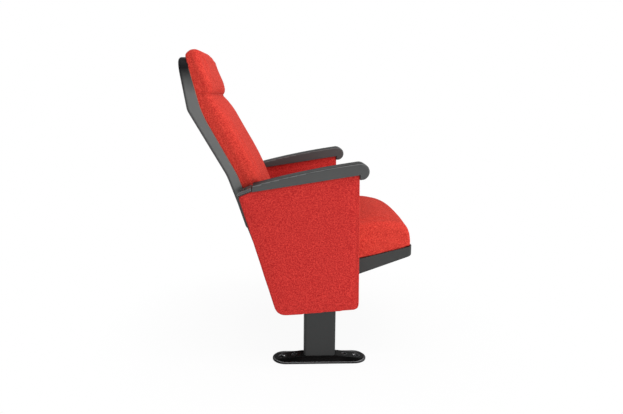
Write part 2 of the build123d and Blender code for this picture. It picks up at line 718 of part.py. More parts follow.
def seat_pan():
    """Moulded pan under the seat: ribbed, with sides that sweep up to the hinges."""
    outer = soften_below(seat_block(0), seat_side, pan_edge)
    hollow = soften_below(seat_block(pan_wall), seat_side - pan_wall, pan_edge - pan_wall)
    long_ribs = [Pos(70, y, 300) * Box(460, pan_rib, 200) for y in pan_ribs_y]
    cross_ribs = [Pos(x, 0, 300) * Box(pan_rib, 2 * pan_ribs_half, 200) for x in pan_ribs_x]
    bosses = [on_board(x, y) * Cylinder(1.2 * pan_screw, 200) for x, y in pan_screws_at]
    lattice = Part() + [*long_ribs, *cross_ribs, *bosses]
    ribs = hollow & lattice & below_board()
    body = (outer & below_pan_line(0)) - hollow + ribs
    for x, y in pan_screws_at:
        body -= on_board(x, y) * Cylinder(pan_screw / 2 + hole_clearance, 260)
        body -= on_board(x, y, pan_boss + 50) * Cylinder(pan_screw, 100)
    body -= disc(pin_x, pin_z, pin_diameter + 2 * bush_wall + 2 * hole_clearance, -seat_side, seat_side)
    body -= disc(stop_x, stop_z, stop_pin_diameter + 2 * hole_clearance, -seat_side, seat_side)
    return body


def seat_board():
    """Plywood board of the seat, on the ribs of the pan and the hinge arms."""
    body = upright(board_plan(), 200, 480) - above_board(0) - below_board()
    for x, y in pan_screws_at:
        body -= on_board(x, y) * Cylinder(pan_screw / 2 + fit, 260)
    for x in arm_fixings_x:
        for y in (-arm_fixing_y, arm_fixing_y):
            body -= on_board(x, y) * Cylinder(arm_fixing / 2 + fit, 260)
    return body


def pan_screws():
    """Screws from below, up through the pan's bosses into the board."""
    one = Rot(180, 0, 0) * screw(1.8 * pan_screw, 0.5 * pan_screw, pan_screw,
                                 pan_boss + 0.75 * seat_board_thickness)
    return Compound(children=[on_board(x, y, pan_boss) * one for x, y in pan_screws_at])


def seat_arm():
    """Steel hinge arm inside the pan: a lever plate with a flange under the board."""
    under_heel = (arm_heel, board_top(arm_heel) - seat_board_thickness)
    under_toe = (arm_toe, board_top(arm_toe) - seat_board_thickness)
    heel, toe = Pos(*under_heel) * Circle(12), Pos(*under_toe) * Circle(10)
    ear = [Pos(*pivot) * Circle(24), Pos(stop_x, stop_z) * Circle(15), heel]
    levers = [make_hull([edge for shape in shapes for edge in shape.edges()])
              for shapes in (ear, [heel, toe])]
    body = Part() + [slab(lever, plate_in, plate_out) for lever in levers]
    flange = [under_heel, under_toe, (arm_toe, under_toe[1] - arm_flange),
              (arm_heel, under_heel[1] - arm_flange)]
    body += slab(make_face(Polyline(*flange, close=True)), plate_in - arm_flange_width, plate_in)
    body -= disc(pin_x, pin_z, pin_diameter + 2 * bush_wall + 2 * fit, plate_in, plate_out)
    body -= disc(stop_x, stop_z, stop_pin_diameter + 2 * fit, plate_in, plate_out)
    for x in arm_fixings_x:
        body -= on_board(x, arm_fixing_y) * Cylinder(arm_fixing / 2 + hole_clearance, 100)
    return body


def seat_arm_screws():
    """Screws through the flange of each hinge arm into the board."""
    one = Rot(180, 0, 0) * screw(1.8 * arm_fixing, 0.5 * arm_fixing, arm_fixing,
                                 arm_flange + 0.75 * seat_board_thickness)
    drop = arm_flange * cos(radians(seat_board_slope))
    return both_sides([on_board(x, arm_fixing_y, drop) * one for x in arm_fixings_x])


def seat_section(x, crest, half, corner):
    """Upright slice of the seat cushion: drawn-in sides and a crowned top."""
    floor = seat_floor
    shoulder = crest - seat_crown - corner
    bend = corner * (1 - 1 / sqrt(2))
    edge_top = crest - seat_crown
    edges = [Line((-half, floor), (half, floor)),
             ThreePointArc((half, floor), (half - seat_draw, (floor + shoulder) / 2), (half, shoulder)),
             ThreePointArc((half, shoulder), (half - bend, edge_top - bend), (half - corner, edge_top)),
             ThreePointArc((half - corner, edge_top), (0, crest), (corner - half, edge_top)),
             ThreePointArc((corner - half, edge_top), (bend - half, edge_top - bend), (-half, shoulder)),
             ThreePointArc((-half, shoulder), (seat_draw - half, (floor + shoulder) / 2), (-half, floor))]
    return Plane.YZ.offset(x) * make_face(edges)


def seat_cushion():
    """Seat cushion: crowned above the pan, and filling it down to the board."""
    crown = loft([seat_section(x, crest, half, corner) for x, crest, half, corner in seat_pad])
    crown -= below_pan_line(clearance)
    fill = upright(board_plan(), 250, 430) & below_pan_line(2) & above_board(clearance)
    behind_pivot = slab(Rectangle(400, 400, align=(Align.MAX, Align.CENTER)), -seat_width, seat_width)
    swing = disc(pin_x, pin_z, 2 * swing_radius, -seat_width, seat_width)
    body = (crown + fill) - (Pos(pin_x, 0, pin_z) * behind_pivot - swing)
    ear_room = Box(arm_ear_room[0], 2 * (seat_side - plate_in) + 28, arm_ear_room[1])
    for side in (-1, 1):
        body -= Pos(pin_x + 20, side * seat_side, pin_z - 10) * ear_room
    return body


# ------------------------------------------------------------------ hinge
sleeve_in = seat_side + clearance
plate_face = panel_in - hinge_plate
buffer_step = degrees(2 * asin((stop_pin_diameter / 2 + buffer_diameter / 2 + clearance) / (2 * stop_orbit)))
buffer_angles = [stop_angle - buffer_step, stop_angle + tip_up_angle + buffer_step]


def at_orbit(angle):
    """Point on the stop pin's orbit round the pivot."""
    return (pin_x + stop_orbit * cos(radians(angle)), pin_z + stop_orbit * sin(radians(angle)))


def hinge_bracket():
    """Steel plate on the side panel that carries the pivot pin, the stops and the spring lug."""
    outline = Pos(pin_x + 9, pin_z + 4) * RectangleRounded(106, 112, 14)
    body = slab(outline, plate_face, panel_in)
    for x, z in hinge_bolts_xz:
        body -= disc(x, z, hinge_bolt + 2 * hole_clearance, plate_face, panel_in)
    body -= disc(pin_x, pin_z, pin_diameter + 2 * fit, plate_face, panel_in)
    for angle in buffer_angles:
        body -= disc(*at_orbit(angle), stud_diameter + 2 * fit, plate_face, panel_in)
    body += disc(pin_x + lug_at[0], pin_z + lug_at[1], lug_diameter, plate_face - 7, plate_face)
    return body


def hinge_bolts():
    """Hexagon screws that hold each hinge plate to the steel plate in the panel."""
    one = Rot(90, 0, 0) * hex_screw(1.6 * hinge_bolt, 0.65 * hinge_bolt, hinge_bolt,
                                    hinge_plate + panel_half + web_thickness + 0.7 * hinge_bolt)
    return both_sides([Pos(x, plate_face, z) * one for x, z in hinge_bolts_xz])


def pivot_pin():
    """Headed pivot pin."""
    head_out = plate_in - bush_flange - clearance
    body = disc(pin_x, pin_z, pin_diameter, head_out, pin_end)
    return body + disc(pin_x, pin_z, pin_head, head_out - 5, head_out)


def pin_nuts():
    """Thin nut on the outer end of each pin, in its pocket in the panel."""
    outline = Pos(pin_x, pin_z) * (RegularPolygon(pin_nut / 2, 6, major_radius=False)
                                   - Circle(pin_diameter / 2 + fit))
    return both_sides([slab(outline, panel_in, panel_in + 8)])


def pivot_bush():
    """Flanged nylon bush pressed into the hinge arm."""
    outer = pin_diameter + 2 * bush_wall
    body = disc(pin_x, pin_z, outer, plate_in, seat_side - clearance)
    body += disc(pin_x, pin_z, outer + 8, plate_in - bush_flange, plate_in)
    return body - disc(pin_x, pin_z, pin_diameter + 2 * fit, plate_in - bush_flange, seat_side)


def pivot_sleeve():
    """Spacer tube on the pin, between the seat and the hinge plate."""
    ring = disc(pin_x, pin_z, sleeve_diameter, sleeve_in, plate_face)
    return ring - disc(pin_x, pin_z, pin_diameter + 2 * fit, sleeve_in, plate_face)


def stop_pin():
    """Pin on the hinge arm that travels between the two rubber stops."""
    body = disc(stop_x, stop_z, stop_pin_diameter, plate_in, plate_face - 0.5)
    return body + disc(stop_x, stop_z, stop_pin_diameter + 6, plate_in - 3, plate_in)


def stop_buffers():
    """Two rubber rollers on studs of the hinge plate, one for each end of the travel."""
    solids = []
    for angle in buffer_angles:
        roller = disc(*at_orbit(angle), buffer_diameter, plate_face - 8, plate_face)
        solids.append(roller + disc(*at_orbit(angle), stud_diameter, plate_face, panel_in))
    return Compound(children=solids)


def biarc(start, start_dir, end, end_dir):
    """Two arcs that join two points with the given directions."""
    chord = end - start
    both = start_dir + end_dir
    a = 4 - both.dot(both)
    b = 2 * chord.dot(both)
    reach = (sqrt(b * b + 4 * a * chord.dot(chord)) - b) / (2 * a)
    inner_start = start + start_dir * reach
    inner_end = end - end_dir * reach
    joint = (inner_start + inner_end) * 0.5
    return [TangentArc(start, joint, tangent=start_dir),
            TangentArc(joint, end, tangent=(inner_end - inner_start).normalized())]


def return_spring():
    """Torsion spring round the sleeve: one leg on the fixed lug, one under the stop pin."""
    pitch = spring_wire + spring_gap
    drop = -pitch / (2 * pi)
    reach = (stop_pin_diameter + spring_wire) / 2 + clearance
    leg_angle = stop_angle + degrees(asin((spring_radius - reach) / stop_orbit))
    end_turn = radians(leg_angle - 90)
    start_turn = end_turn - 2 * pi * spring_turns
    y_start = plate_face - spring_wire / 2 - 1.1

    def point(turn):
        return Vector(pin_x + spring_radius * cos(turn), y_start + drop * (turn - start_turn),
                      pin_z + spring_radius * sin(turn))

    def heading(turn):
        return Vector(-spring_radius * sin(turn), drop, spring_radius * cos(turn)).normalized()

    quarters = round(4 * spring_turns)
    turns = [start_turn + number * pi / 2 for number in range(quarters + 1)]
    edges = [Line(point(turns[0]) - heading(turns[0]) * 27, point(turns[0]))]
    for first, second in zip(turns, turns[1:]):
        edges += biarc(point(first), heading(first), point(second), heading(second))
    edges.append(Line(point(turns[-1]), point(turns[-1]) + heading(turns[-1]) * 46))
    path = Wire(edges)
    section = Plane(origin=path @ 0, z_dir=path % 0) * Circle(spring_wire / 2)
    tube = sweep(section, path=path)
    samples = [point(start_turn + number * pi / 60) for number in range(round(120 * spring_turns) + 1)]
    least = min((samples[i] - samples[j]).length for i in range(len(samples))
                for j in range(i + 60, len(samples)))
    print("spring: least gap to itself", round(least - spring_wire, 3), "mm; volume",
          round(tube.volume, 1), "against", round(path.length * pi * spring_wire ** 2 / 4, 1))
    return tube


def build():
    """Make every piece once."""
    for node, make in (("foot", foot), ("post", post), ("side_web", web), ("panel_inner", panel_inner),
                       ("panel_outer", panel_outer), ("armrest", armrest), ("back_bracket", bracket),
                       ("back_anchor", anchor), ("hinge_plate", hinge_bracket), ("pivot_pin", pivot_pin),
                       ("pivot_bush", pivot_bush), ("pivot_sleeve", pivot_sleeve),
                       ("return_spring", return_spring), ("seat_arm", seat_arm), ("stop_pin", stop_pin),
                       ("stop_buffers", stop_buffers)):
        keep_pair(node, make())
    for node, make in (("back_shell", back_shell), ("back_board", back_board),
                       ("back_cushion", back_cushion), ("seat_pan", seat_pan), ("seat_board", seat_board),
                       ("seat_cushion", seat_cushion), ("post_bolts", post_bolts),
                       ("panel_screws", panel_screws), ("arm_screws", arm_screws),
                       ("bracket_screws", bracket_screws), ("back_bolts", back_bolts),
                       ("back_screws", back_screws), ("hinge_bolts", hinge_bolts), ("pin_nuts", pin_nuts),
                       ("seat_arm_screws", seat_arm_screws), ("pan_screws", pan_screws)):
        keep(node, make())


build()
os.makedirs("parts", exist_ok=True)
for node, piece in pieces.items():
    export_step(piece, f"parts/{node}.step")
print(len(pieces), "nodes")
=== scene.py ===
# %% [markdown]
# # A tip-up auditorium seat
# The seat has red woven upholstery, black moulded plastic, a painted steel post and an
# enamelled cast foot. The measured model is loaded first and used as a fixed frame: every
# piece made here sits on it and moves with one of its two bodies, the stand or the seat.
# Hard pieces whose shape is right keep their measured mesh and get a finish. Padding, cloth
# and fasteners are made anew, because their looks live in their folds, seams and threads.

# %% Load the frame
import json
import math
import bmesh
import bpy
import numpy
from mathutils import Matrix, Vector, noise
from mathutils.bvhtree import BVHTree

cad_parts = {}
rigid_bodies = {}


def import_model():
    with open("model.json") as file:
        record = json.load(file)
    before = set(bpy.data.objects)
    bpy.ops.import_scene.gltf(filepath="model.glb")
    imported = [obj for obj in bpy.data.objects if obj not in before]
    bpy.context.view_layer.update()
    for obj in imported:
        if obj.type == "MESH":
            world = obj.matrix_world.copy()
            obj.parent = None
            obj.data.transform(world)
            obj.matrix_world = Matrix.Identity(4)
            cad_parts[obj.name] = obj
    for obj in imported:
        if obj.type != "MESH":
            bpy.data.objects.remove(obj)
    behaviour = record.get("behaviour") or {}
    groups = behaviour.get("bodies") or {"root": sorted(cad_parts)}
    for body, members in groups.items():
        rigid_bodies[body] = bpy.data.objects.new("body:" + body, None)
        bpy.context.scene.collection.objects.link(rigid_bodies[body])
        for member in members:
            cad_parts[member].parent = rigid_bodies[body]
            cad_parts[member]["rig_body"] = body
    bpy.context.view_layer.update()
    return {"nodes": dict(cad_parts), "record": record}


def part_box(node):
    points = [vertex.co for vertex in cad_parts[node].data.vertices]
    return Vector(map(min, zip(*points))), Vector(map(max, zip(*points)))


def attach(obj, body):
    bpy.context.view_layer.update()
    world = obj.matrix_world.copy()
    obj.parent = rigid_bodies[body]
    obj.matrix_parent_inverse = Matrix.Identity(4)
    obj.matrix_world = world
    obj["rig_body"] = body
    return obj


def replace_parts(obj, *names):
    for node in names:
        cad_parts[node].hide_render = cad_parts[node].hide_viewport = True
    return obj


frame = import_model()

nodes = frame["nodes"]

# %% [markdown]
# ## The view
# The picture is taken from the side with the lens about 0.84 m above the floor. A small
# shift of the lens does part of the looking down, so the uprights stay nearly parallel.

# %% Camera
def add_object(name, data):
    """A new object in the scene."""
    item = bpy.data.objects.new(name, data)
    bpy.context.collection.objects.link(item)
    return item


photo_width = 623
camera_place = (-0.170, -1.975, 0.840)
camera_down, camera_turn = math.radians(9), math.radians(1.5)
focal_pixels = 545
camera_data = bpy.data.cameras.new("view")
camera_data.sensor_width = 36
camera_data.lens = focal_pixels * camera_data.sensor_width / photo_width
camera_data.shift_x, camera_data.shift_y = 0.049, -0.033
camera = add_object("view", camera_data)
camera.location = camera_place
camera.rotation_euler = (math.pi / 2 - camera_down, 0, -camera_turn)
bpy.context.scene.camera = camera
bpy.context.scene.view_settings.view_transform = "Standard"
print("lens", round(camera_data.lens, 2), "mm")

# %% [markdown]
# ## Node helpers
# Every finish is made of nodes. These short helpers place a node, join sockets and set the
# values that stay the same all over a surface straight on the socket.

# %% Node helpers
def add_node(tree, kind, **values):
    """Place a node. Values go to its settings, or to its sockets by name."""
    node = tree.nodes.new(kind)
    for name, value in values.items():
        if hasattr(node, name):
            setattr(node, name, value)
        else:
            node.inputs[name.replace("_", " ")].default_value = value
    return node


def join(tree, *chain):
    """Link pairs of sockets: from, to, from, to."""
    for start, end in zip(chain[::2], chain[1::2]):
        tree.links.new(start, end)


def calc(tree, operation, first, second=None, third=None, clamp=False):
    """A Math node on sockets or numbers; gives its output."""
    node = tree.nodes.new("ShaderNodeMath")
    node.operation = operation
    node.use_clamp = clamp
    for socket, value in zip(node.inputs, (first, second, third)):
        if isinstance(value, bpy.types.NodeSocket):
            tree.links.new(value, socket)
        elif value is not None:
            socket.default_value = value
    return node.outputs[0]


def choose(tree, mask, first, second):
    """The first number where the mask is 1, and the second where it is 0."""
    return calc(tree, "MULTIPLY_ADD", mask, calc(tree, "SUBTRACT", first, second), second)


def remap(tree, value, low, high, to_low=0.0, to_high=1.0):
    """A number moved from one range to another and kept inside it; gives its output."""
    node = add_node(tree, "ShaderNodeMapRange", From_Min=low, From_Max=high, To_Min=to_low, To_Max=to_high)
    tree.links.new(value, node.inputs["Value"])
    return node.outputs["Result"]


def add_bump(tree, shader, height, strength, depth):
    """Let a height bend a shader's normal."""
    bump = add_node(tree, "ShaderNodeBump", Strength=strength, Distance=depth)
    join(tree, height, bump.inputs["Height"], bump.outputs[0], shader.inputs["Normal"])


def new_group(name, inputs, outputs):
    """An empty shader group with named sockets: (kind, name, value) in, (kind, name) out."""
    group = bpy.data.node_groups.new(name, "ShaderNodeTree")
    for kind, label, value in inputs:
        socket = group.interface.new_socket(label, in_out="INPUT", socket_type="NodeSocket" + kind)
        socket.default_value = value
    for kind, label in outputs:
        group.interface.new_socket(label, in_out="OUTPUT", socket_type="NodeSocket" + kind)
    return group, group.nodes.new("NodeGroupInput"), group.nodes.new("NodeGroupOutput")


def use_group(tree, group, **values):
    """Place a group in a material and set its named inputs."""
    node = tree.nodes.new("ShaderNodeGroup")
    node.node_tree = group
    for name, value in values.items():
        node.inputs[name.replace("_", " ")].default_value = value
    return node


def new_material(name, colour, **values):
    """A material with one Principled shader. Gives the material, its tree and the shader."""
    material = bpy.data.materials.new(name)
    material.use_nodes = True
    material.diffuse_color = (*colour, 1)
    shader = material.node_tree.nodes["Principled BSDF"]
    shader.inputs["Base Color"].default_value = (*colour, 1)
    for label, value in values.items():
        shader.inputs[label.replace("_", " ")].default_value = value
    return material, material.node_tree, shader


def mix_colour(tree, factor, first, second, blend="MIX"):
    """A colour mix of sockets or colours; gives its output."""
    node = tree.nodes.new("ShaderNodeMix")
    node.data_type = "RGBA"
    node.blend_type = blend
    sockets = node.inputs["Factor"], node.inputs[6], node.inputs[7]
    for socket, value in zip(sockets, (factor, first, second)):
        if isinstance(value, bpy.types.NodeSocket):
            tree.links.new(value, socket)
        else:
            socket.default_value = value if isinstance(value, float) else (*value, 1)
    return node.outputs[2]

# %% [markdown]
# ## The weave
# The cloth is a plain weave of slubby yarn. A plain weave is two sets of round yarns
# that go over and under each other, so its height is one wave across and one along, picked
# by a checkerboard. The pattern is laid on from the three main directions, and the face's own
# direction picks which one is used, so it needs no unwrapping and it stays put when the seat
# tips up. Noise makes the yarns swell, and a second, coarser noise mixes light and dark fibre.

# %% Weave group
def weave_group():
    """Gives the weave's height, the yarn's share of it, and the mix of light and dark fibre."""
    group, given, out = new_group(
        "weave", [("Float", "Pitch", 0.0014), ("Float", "Slub", 0.5)],
        [("Float", "Height"), ("Float", "Yarn"), ("Float", "Heather")])
    place = add_node(group, "ShaderNodeTexCoord")
    facing = add_node(group, "ShaderNodeSeparateXYZ")
    where = add_node(group, "ShaderNodeSeparateXYZ")
    wobble = add_node(group, "ShaderNodeTexNoise", Scale=90.0, Detail=2.0)
    bent = add_node(group, "ShaderNodeVectorMath", operation="MULTIPLY_ADD")
    join(group, place.outputs["Object"], wobble.inputs["Vector"])
    join(group, wobble.outputs["Color"], bent.inputs[0], place.outputs["Object"], bent.inputs[2])
    yarn_wobble = 0.0008
    bent.inputs[1].default_value = [yarn_wobble] * 3
    join(group, bent.outputs[0], where.inputs[0], place.outputs["Normal"], facing.inputs[0])
    x, y, z = where.outputs
    faces = [calc(group, "ABSOLUTE", axis) for axis in facing.outputs]
    turn = calc(group, "DIVIDE", math.pi, given.outputs["Pitch"])
    heights = []
    for first, second in ((y, z), (x, z), (x, y)):
        across = calc(group, "SINE", calc(group, "MULTIPLY", first, turn))
        along = calc(group, "SINE", calc(group, "MULTIPLY", second, turn))
        over = calc(group, "GREATER_THAN", calc(group, "MULTIPLY", across, along), 0.0)
        heights.append(choose(group, over, calc(group, "ABSOLUTE", across), calc(group, "ABSOLUTE", along)))
    # the choice follows the larger part of the face's direction
    side = calc(group, "GREATER_THAN", faces[0], faces[1])
    top = calc(group, "GREATER_THAN", faces[2], calc(group, "MAXIMUM", faces[0], faces[1]))
    level = choose(group, top, heights[2], choose(group, side, heights[0], heights[1]))
    slub = add_node(group, "ShaderNodeTexNoise", Scale=420.0, Detail=3.0)
    join(group, place.outputs["Object"], slub.inputs["Vector"])
    swell = calc(group, "MULTIPLY", slub.outputs["Fac"], given.outputs["Slub"])
    height = calc(group, "ADD", level, swell)
    patch = add_node(group, "ShaderNodeTexNoise", Scale=260.0, Detail=5.0, Roughness=0.75)
    join(group, place.outputs["Object"], patch.inputs["Vector"])
    join(group, height, out.inputs["Height"], level, out.inputs["Yarn"],
         remap(group, patch.outputs["Fac"], 0.39, 0.61), out.inputs["Heather"])
    return group


weave = weave_group()
print("weave group:", len(weave.nodes), "nodes")

# %% [markdown]
# ## Grain, dust, worn edges and painted light
# Moulded plastic and powder coat both have a fine grain with slightly uneven gloss, so one
# group gives a height and a gloss mask for both at their own scale. Dust settles on what
# faces up. Edges are rubbed where hands and shoes pass: there the normal of a rounded edge
# leaves the true one, and that difference is the mask. Both masks also carry painted light:
# with a dark colour the dust mask paints shade on what faces up, and with a pale colour at
# full amount the edge mask paints highlights along edges.

# %% Grain, dust and edge groups
def grain_group():
    """Gives a fine height and a broad gloss mask."""
    group, given, out = new_group(
        "grain", [("Float", "Scale", 900.0), ("Float", "Patches", 9.0)],
        [("Float", "Height"), ("Float", "Gloss")])
    place = add_node(group, "ShaderNodeTexCoord")
    fine = add_node(group, "ShaderNodeTexNoise", Detail=3.0, Roughness=0.6)
    broad = add_node(group, "ShaderNodeTexNoise", Detail=4.0, Roughness=0.55)
    for speckle, size in ((fine, "Scale"), (broad, "Patches")):
        join(group, place.outputs["Object"], speckle.inputs["Vector"],
             given.outputs[size], speckle.inputs["Scale"])
    join(group, fine.outputs["Fac"], out.inputs["Height"], broad.outputs["Fac"], out.inputs["Gloss"])
    return group


def dust_group():
    """Gives a speckled mask on what faces up."""
    group, given, out = new_group("dust_and_top_shade", [("Float", "Amount", 0.2)], [("Float", "Mask")])
    place = add_node(group, "ShaderNodeTexCoord")
    split = add_node(group, "ShaderNodeSeparateXYZ")
    specks = add_node(group, "ShaderNodeTexNoise", Scale=45.0, Detail=6.0, Roughness=0.7)
    join(group, place.outputs["Normal"], split.inputs[0], place.outputs["Object"], specks.inputs["Vector"])
    up = calc(group, "POWER", calc(group, "MAXIMUM", split.outputs["Z"], 0.0), 3.0)
    spread = calc(group, "MULTIPLY", up, specks.outputs["Fac"])
    join(group, calc(group, "MULTIPLY", spread, given.outputs["Amount"]), out.inputs["Mask"])
    return group


def edge_group():
    """Gives a mask along convex and hollow edges."""
    group, given, out = new_group("edge wear and highlight", [("Float", "Width", 0.0015), ("Float", "Amount", 0.5)],
                                  [("Float", "Mask")])
    rounded = add_node(group, "ShaderNodeBevel", samples=4)
    true = add_node(group, "ShaderNodeNewGeometry")
    spread = add_node(group, "ShaderNodeVectorMath", operation="DOT_PRODUCT")
    join(group, given.outputs["Width"], rounded.inputs["Radius"], rounded.outputs[0], spread.inputs[0],
         true.outputs["Normal"], spread.inputs[1])
    bend = calc(group, "SUBTRACT", 1.0, spread.outputs["Value"])
    mask = calc(group, "MULTIPLY", calc(group, "MULTIPLY", bend, 6.0, clamp=True), given.outputs["Amount"])
    join(group, mask, out.inputs["Mask"])
    return group


grain, dust_and_top_shade, edge_wear_and_highlight = grain_group(), dust_group(), edge_group()
print("groups:", [group.name for group in bpy.data.node_groups])

# %% [markdown]
# ## The red cloth
# Each yarn is a mix of a deep and a bright red, the hollows of the weave get painted shade, and the
# fibres give a faint red sheen at a low angle, which is set as a plain value. The cushions get a
# copy of the same cloth in brighter reds than the panels: painted light for the stronger light on them.

# %% Red cloth
yarn_pitch = 0.0014


def red_cloth(name, red_bright, red_deep):
    """Woven cloth of a bright and a deep red."""
    material, tree, shader = new_material(
        name, red_bright, Roughness=0.95, Sheen_Weight=0.12, Sheen_Roughness=0.40,
        Specular_IOR_Level=0.12)
    shader.inputs["Sheen Tint"].default_value = (1.0, 0.30, 0.22, 1)
    yarns = use_group(tree, weave, Pitch=yarn_pitch, Slub=0.5)
    colour = mix_colour(tree, yarns.outputs["Heather"], red_deep, red_bright)
    # Painted shade: the colour is darkened to 0.70 of itself in the weave's hollows.
    hollow = remap(tree, yarns.outputs["Yarn"], 0.0, 0.7, 0.70, 1.08)
    shade = add_node(tree, "ShaderNodeCombineColor")
    for channel in shade.inputs:
        join(tree, hollow, channel)
    woven = mix_colour(tree, 1.0, colour, shade.outputs[0], blend="MULTIPLY")
    join(tree, woven, shader.inputs["Base Color"])
    add_bump(tree, shader, yarns.outputs["Height"], 0.6, 0.0006)
    return material


def red_thread():
    """Sewing thread: twisted, so its height is a fine slanted wave."""
    material, tree, shader = new_material("red_thread", (0.50, 0.025, 0.024), Roughness=0.6,
                                          Specular_IOR_Level=0.3)
    place = add_node(tree, "ShaderNodeTexCoord")
    twist = add_node(tree, "ShaderNodeTexWave", bands_direction="DIAGONAL", Scale=900.0, Distortion=1.0)
    colour = mix_colour(tree, twist.outputs["Fac"], (0.36, 0.014, 0.014), (0.58, 0.035, 0.030))
    join(tree, place.outputs["Object"], twist.inputs["Vector"], colour, shader.inputs["Base Color"])
    add_bump(tree, shader, twist.outputs["Fac"], 0.4, 0.0001)
    return material


# The cushions' copy of the cloth is painted brighter and more orange than the panels': painted light, the
# cloth being the same.
cushion_cloth_painted_brighter = red_cloth("cushion_cloth_painted_brighter", (0.800, 0.078, 0.052), (0.500, 0.020, 0.017))
panel_cloth = red_cloth("panel_cloth", (0.700, 0.054, 0.044), (0.410, 0.014, 0.015))
thread_material = red_thread()

# %% [markdown]
# ## Plastic, painted steel and enamel
# The shell and armrests are dark grey plastic with a fine spark-eroded grain, and the seat pan
# is a blacker one. The post has a satin powder coat and the foot a glossy black enamel. A
# real surface differs from a plain colour in three ways, which are all built here: its gloss
# is uneven, its edges are rubbed paler, and dust lies on what faces up. Some marks are painted
# light instead. The mask that lays dust paints shade on the armrests' top, and a grey band
# along their rounded upper edges is a painted highlight. The shell gets painted shade near
# black in a band at its top, where its specular is lowered too, and a darker colour on what
# faces back. The foot's edges get painted highlights, and the bracket's edges are painted much
# paler.

# %% Hard finishes
def coated(name, colour, edge_wear_and_highlight_colour, rough, grain_scale, grain_depth, edge=0.5, edge_width=0.0016,
           dust_and_top_shade_amount=0.12, dust_and_top_shade_colour=(0.30, 0.29, 0.28), specular=0.3):
    """Moulded plastic, powder coat or enamel, by its colours, gloss range and grain."""
    material, tree, shader = new_material(name, colour, Specular_IOR_Level=specular)
    skin = use_group(tree, grain, Scale=grain_scale, Patches=9.0)
    # The dust mask lays real dust, and with a dark colour it paints shade on what faces up. The edge mask
    # shows wear, and with a pale colour at full amount it paints highlights along edges.
    dust_and_top_shade_mask = use_group(tree, dust_and_top_shade, Amount=dust_and_top_shade_amount)
    edge_wear_and_highlight_mask = use_group(tree, edge_wear_and_highlight, Width=edge_width, Amount=edge)
    dust_and_top_shade_mixed = mix_colour(tree, dust_and_top_shade_mask.outputs["Mask"], colour, dust_and_top_shade_colour)
    edged = mix_colour(tree, edge_wear_and_highlight_mask.outputs["Mask"], dust_and_top_shade_mixed, edge_wear_and_highlight_colour)
    join(tree, edged, shader.inputs["Base Color"],
         remap(tree, skin.outputs["Gloss"], 0.3, 0.7, *rough), shader.inputs["Roughness"])
    add_bump(tree, shader, skin.outputs["Height"], 0.3, grain_depth)
    return material, tree, shader, edged


def shell_plastic():
    """The shell's plastic: painted shade on what faces back, and painted shade near black, with lowered
    specular, in a band at the top.
    """
    beside, painted_rear_shade, painted_top_shade = (0.118, 0.121, 0.119), (0.042, 0.042, 0.043), (0.009, 0.009, 0.010)
    specular, painted_top_shade_specular = 0.3, 0.04
    top_shade_start, top_shade_end, top_shade_waver = 0.865, 0.935, 0.03
    material, tree, shader, skin_colour = coated(
        "shell_plastic", beside, (0.17, 0.17, 0.17), (0.44, 0.56), 1100.0, 0.0002, specular=specular)
    place = add_node(tree, "ShaderNodeTexCoord")
    height = add_node(tree, "ShaderNodeSeparateXYZ")
    facing = add_node(tree, "ShaderNodeSeparateXYZ")
    uneven = add_node(tree, "ShaderNodeTexNoise", Scale=14.0, Detail=3.0)
    join(tree, place.outputs["Object"], height.inputs[0], place.outputs["Object"], uneven.inputs["Vector"],
         place.outputs["Normal"], facing.inputs[0])
    # A band at the top, wavering a little, is painted near black with its specular lowered: painted shade.
    # held is the mask of that band.
    wavering = calc(tree, "MULTIPLY_ADD", uneven.outputs["Fac"], top_shade_waver, height.outputs["Z"])
    held = remap(tree, calc(tree, "SUBTRACT", wavering, top_shade_waver / 2), top_shade_start, top_shade_end)
    # What faces back is painted darker: painted shade.
    rear = remap(tree, facing.outputs["X"], -0.15, -0.55)
    gleam = calc(tree, "MULTIPLY_ADD", held, painted_top_shade_specular - specular, specular)
    shaded = mix_colour(tree, rear, skin_colour, painted_rear_shade)
    join(tree, gleam, shader.inputs["Specular IOR Level"],
         mix_colour(tree, held, shaded, painted_top_shade), shader.inputs["Base Color"])
    return material


def arm_plastic():
    """The armrests' plastic: painted shade on the top, and a painted highlight in grey along the rounded
    upper edges.
    """
    # With a near-black colour and a strong amount, the dust mask here paints shade on what faces up: the top
    # is darker.
    material, tree, shader, skin_colour = coated(
        "arm_plastic", (0.074, 0.076, 0.076), (0.20, 0.20, 0.20), (0.52, 0.64), 1100.0, 0.0002,
        dust_and_top_shade_amount=1.9, dust_and_top_shade_colour=(0.010, 0.011, 0.011), specular=0.08)
    # A grey band where the rounded upper edges slope at this angle is a painted highlight.
    highlight_slope = 0.66
    place = add_node(tree, "ShaderNodeTexCoord")
    facing = add_node(tree, "ShaderNodeSeparateXYZ")
    off_slope = calc(tree, "ABSOLUTE", calc(tree, "SUBTRACT", facing.outputs["Z"], highlight_slope))
    rounded = remap(tree, off_slope, 0.0, 0.20, 0.75, 0.0)
    painted_highlight_grey = mix_colour(tree, rounded, skin_colour, (0.21, 0.21, 0.21))
    join(tree, place.outputs["Normal"], facing.inputs[0], painted_highlight_grey, shader.inputs["Base Color"])
    return material


def bare_metal(name, colour, rough, scale):
    """Plated or oiled steel with a fine uneven gloss."""
    material, tree, shader = new_material(name, colour, Metallic=1.0)
    skin = use_group(tree, grain, Scale=scale, Patches=60.0)
    join(tree, remap(tree, skin.outputs["Gloss"], 0.3, 0.7, *rough), shader.inputs["Roughness"])
    add_bump(tree, shader, skin.outputs["Height"], 0.2, 0.0001)
    return material


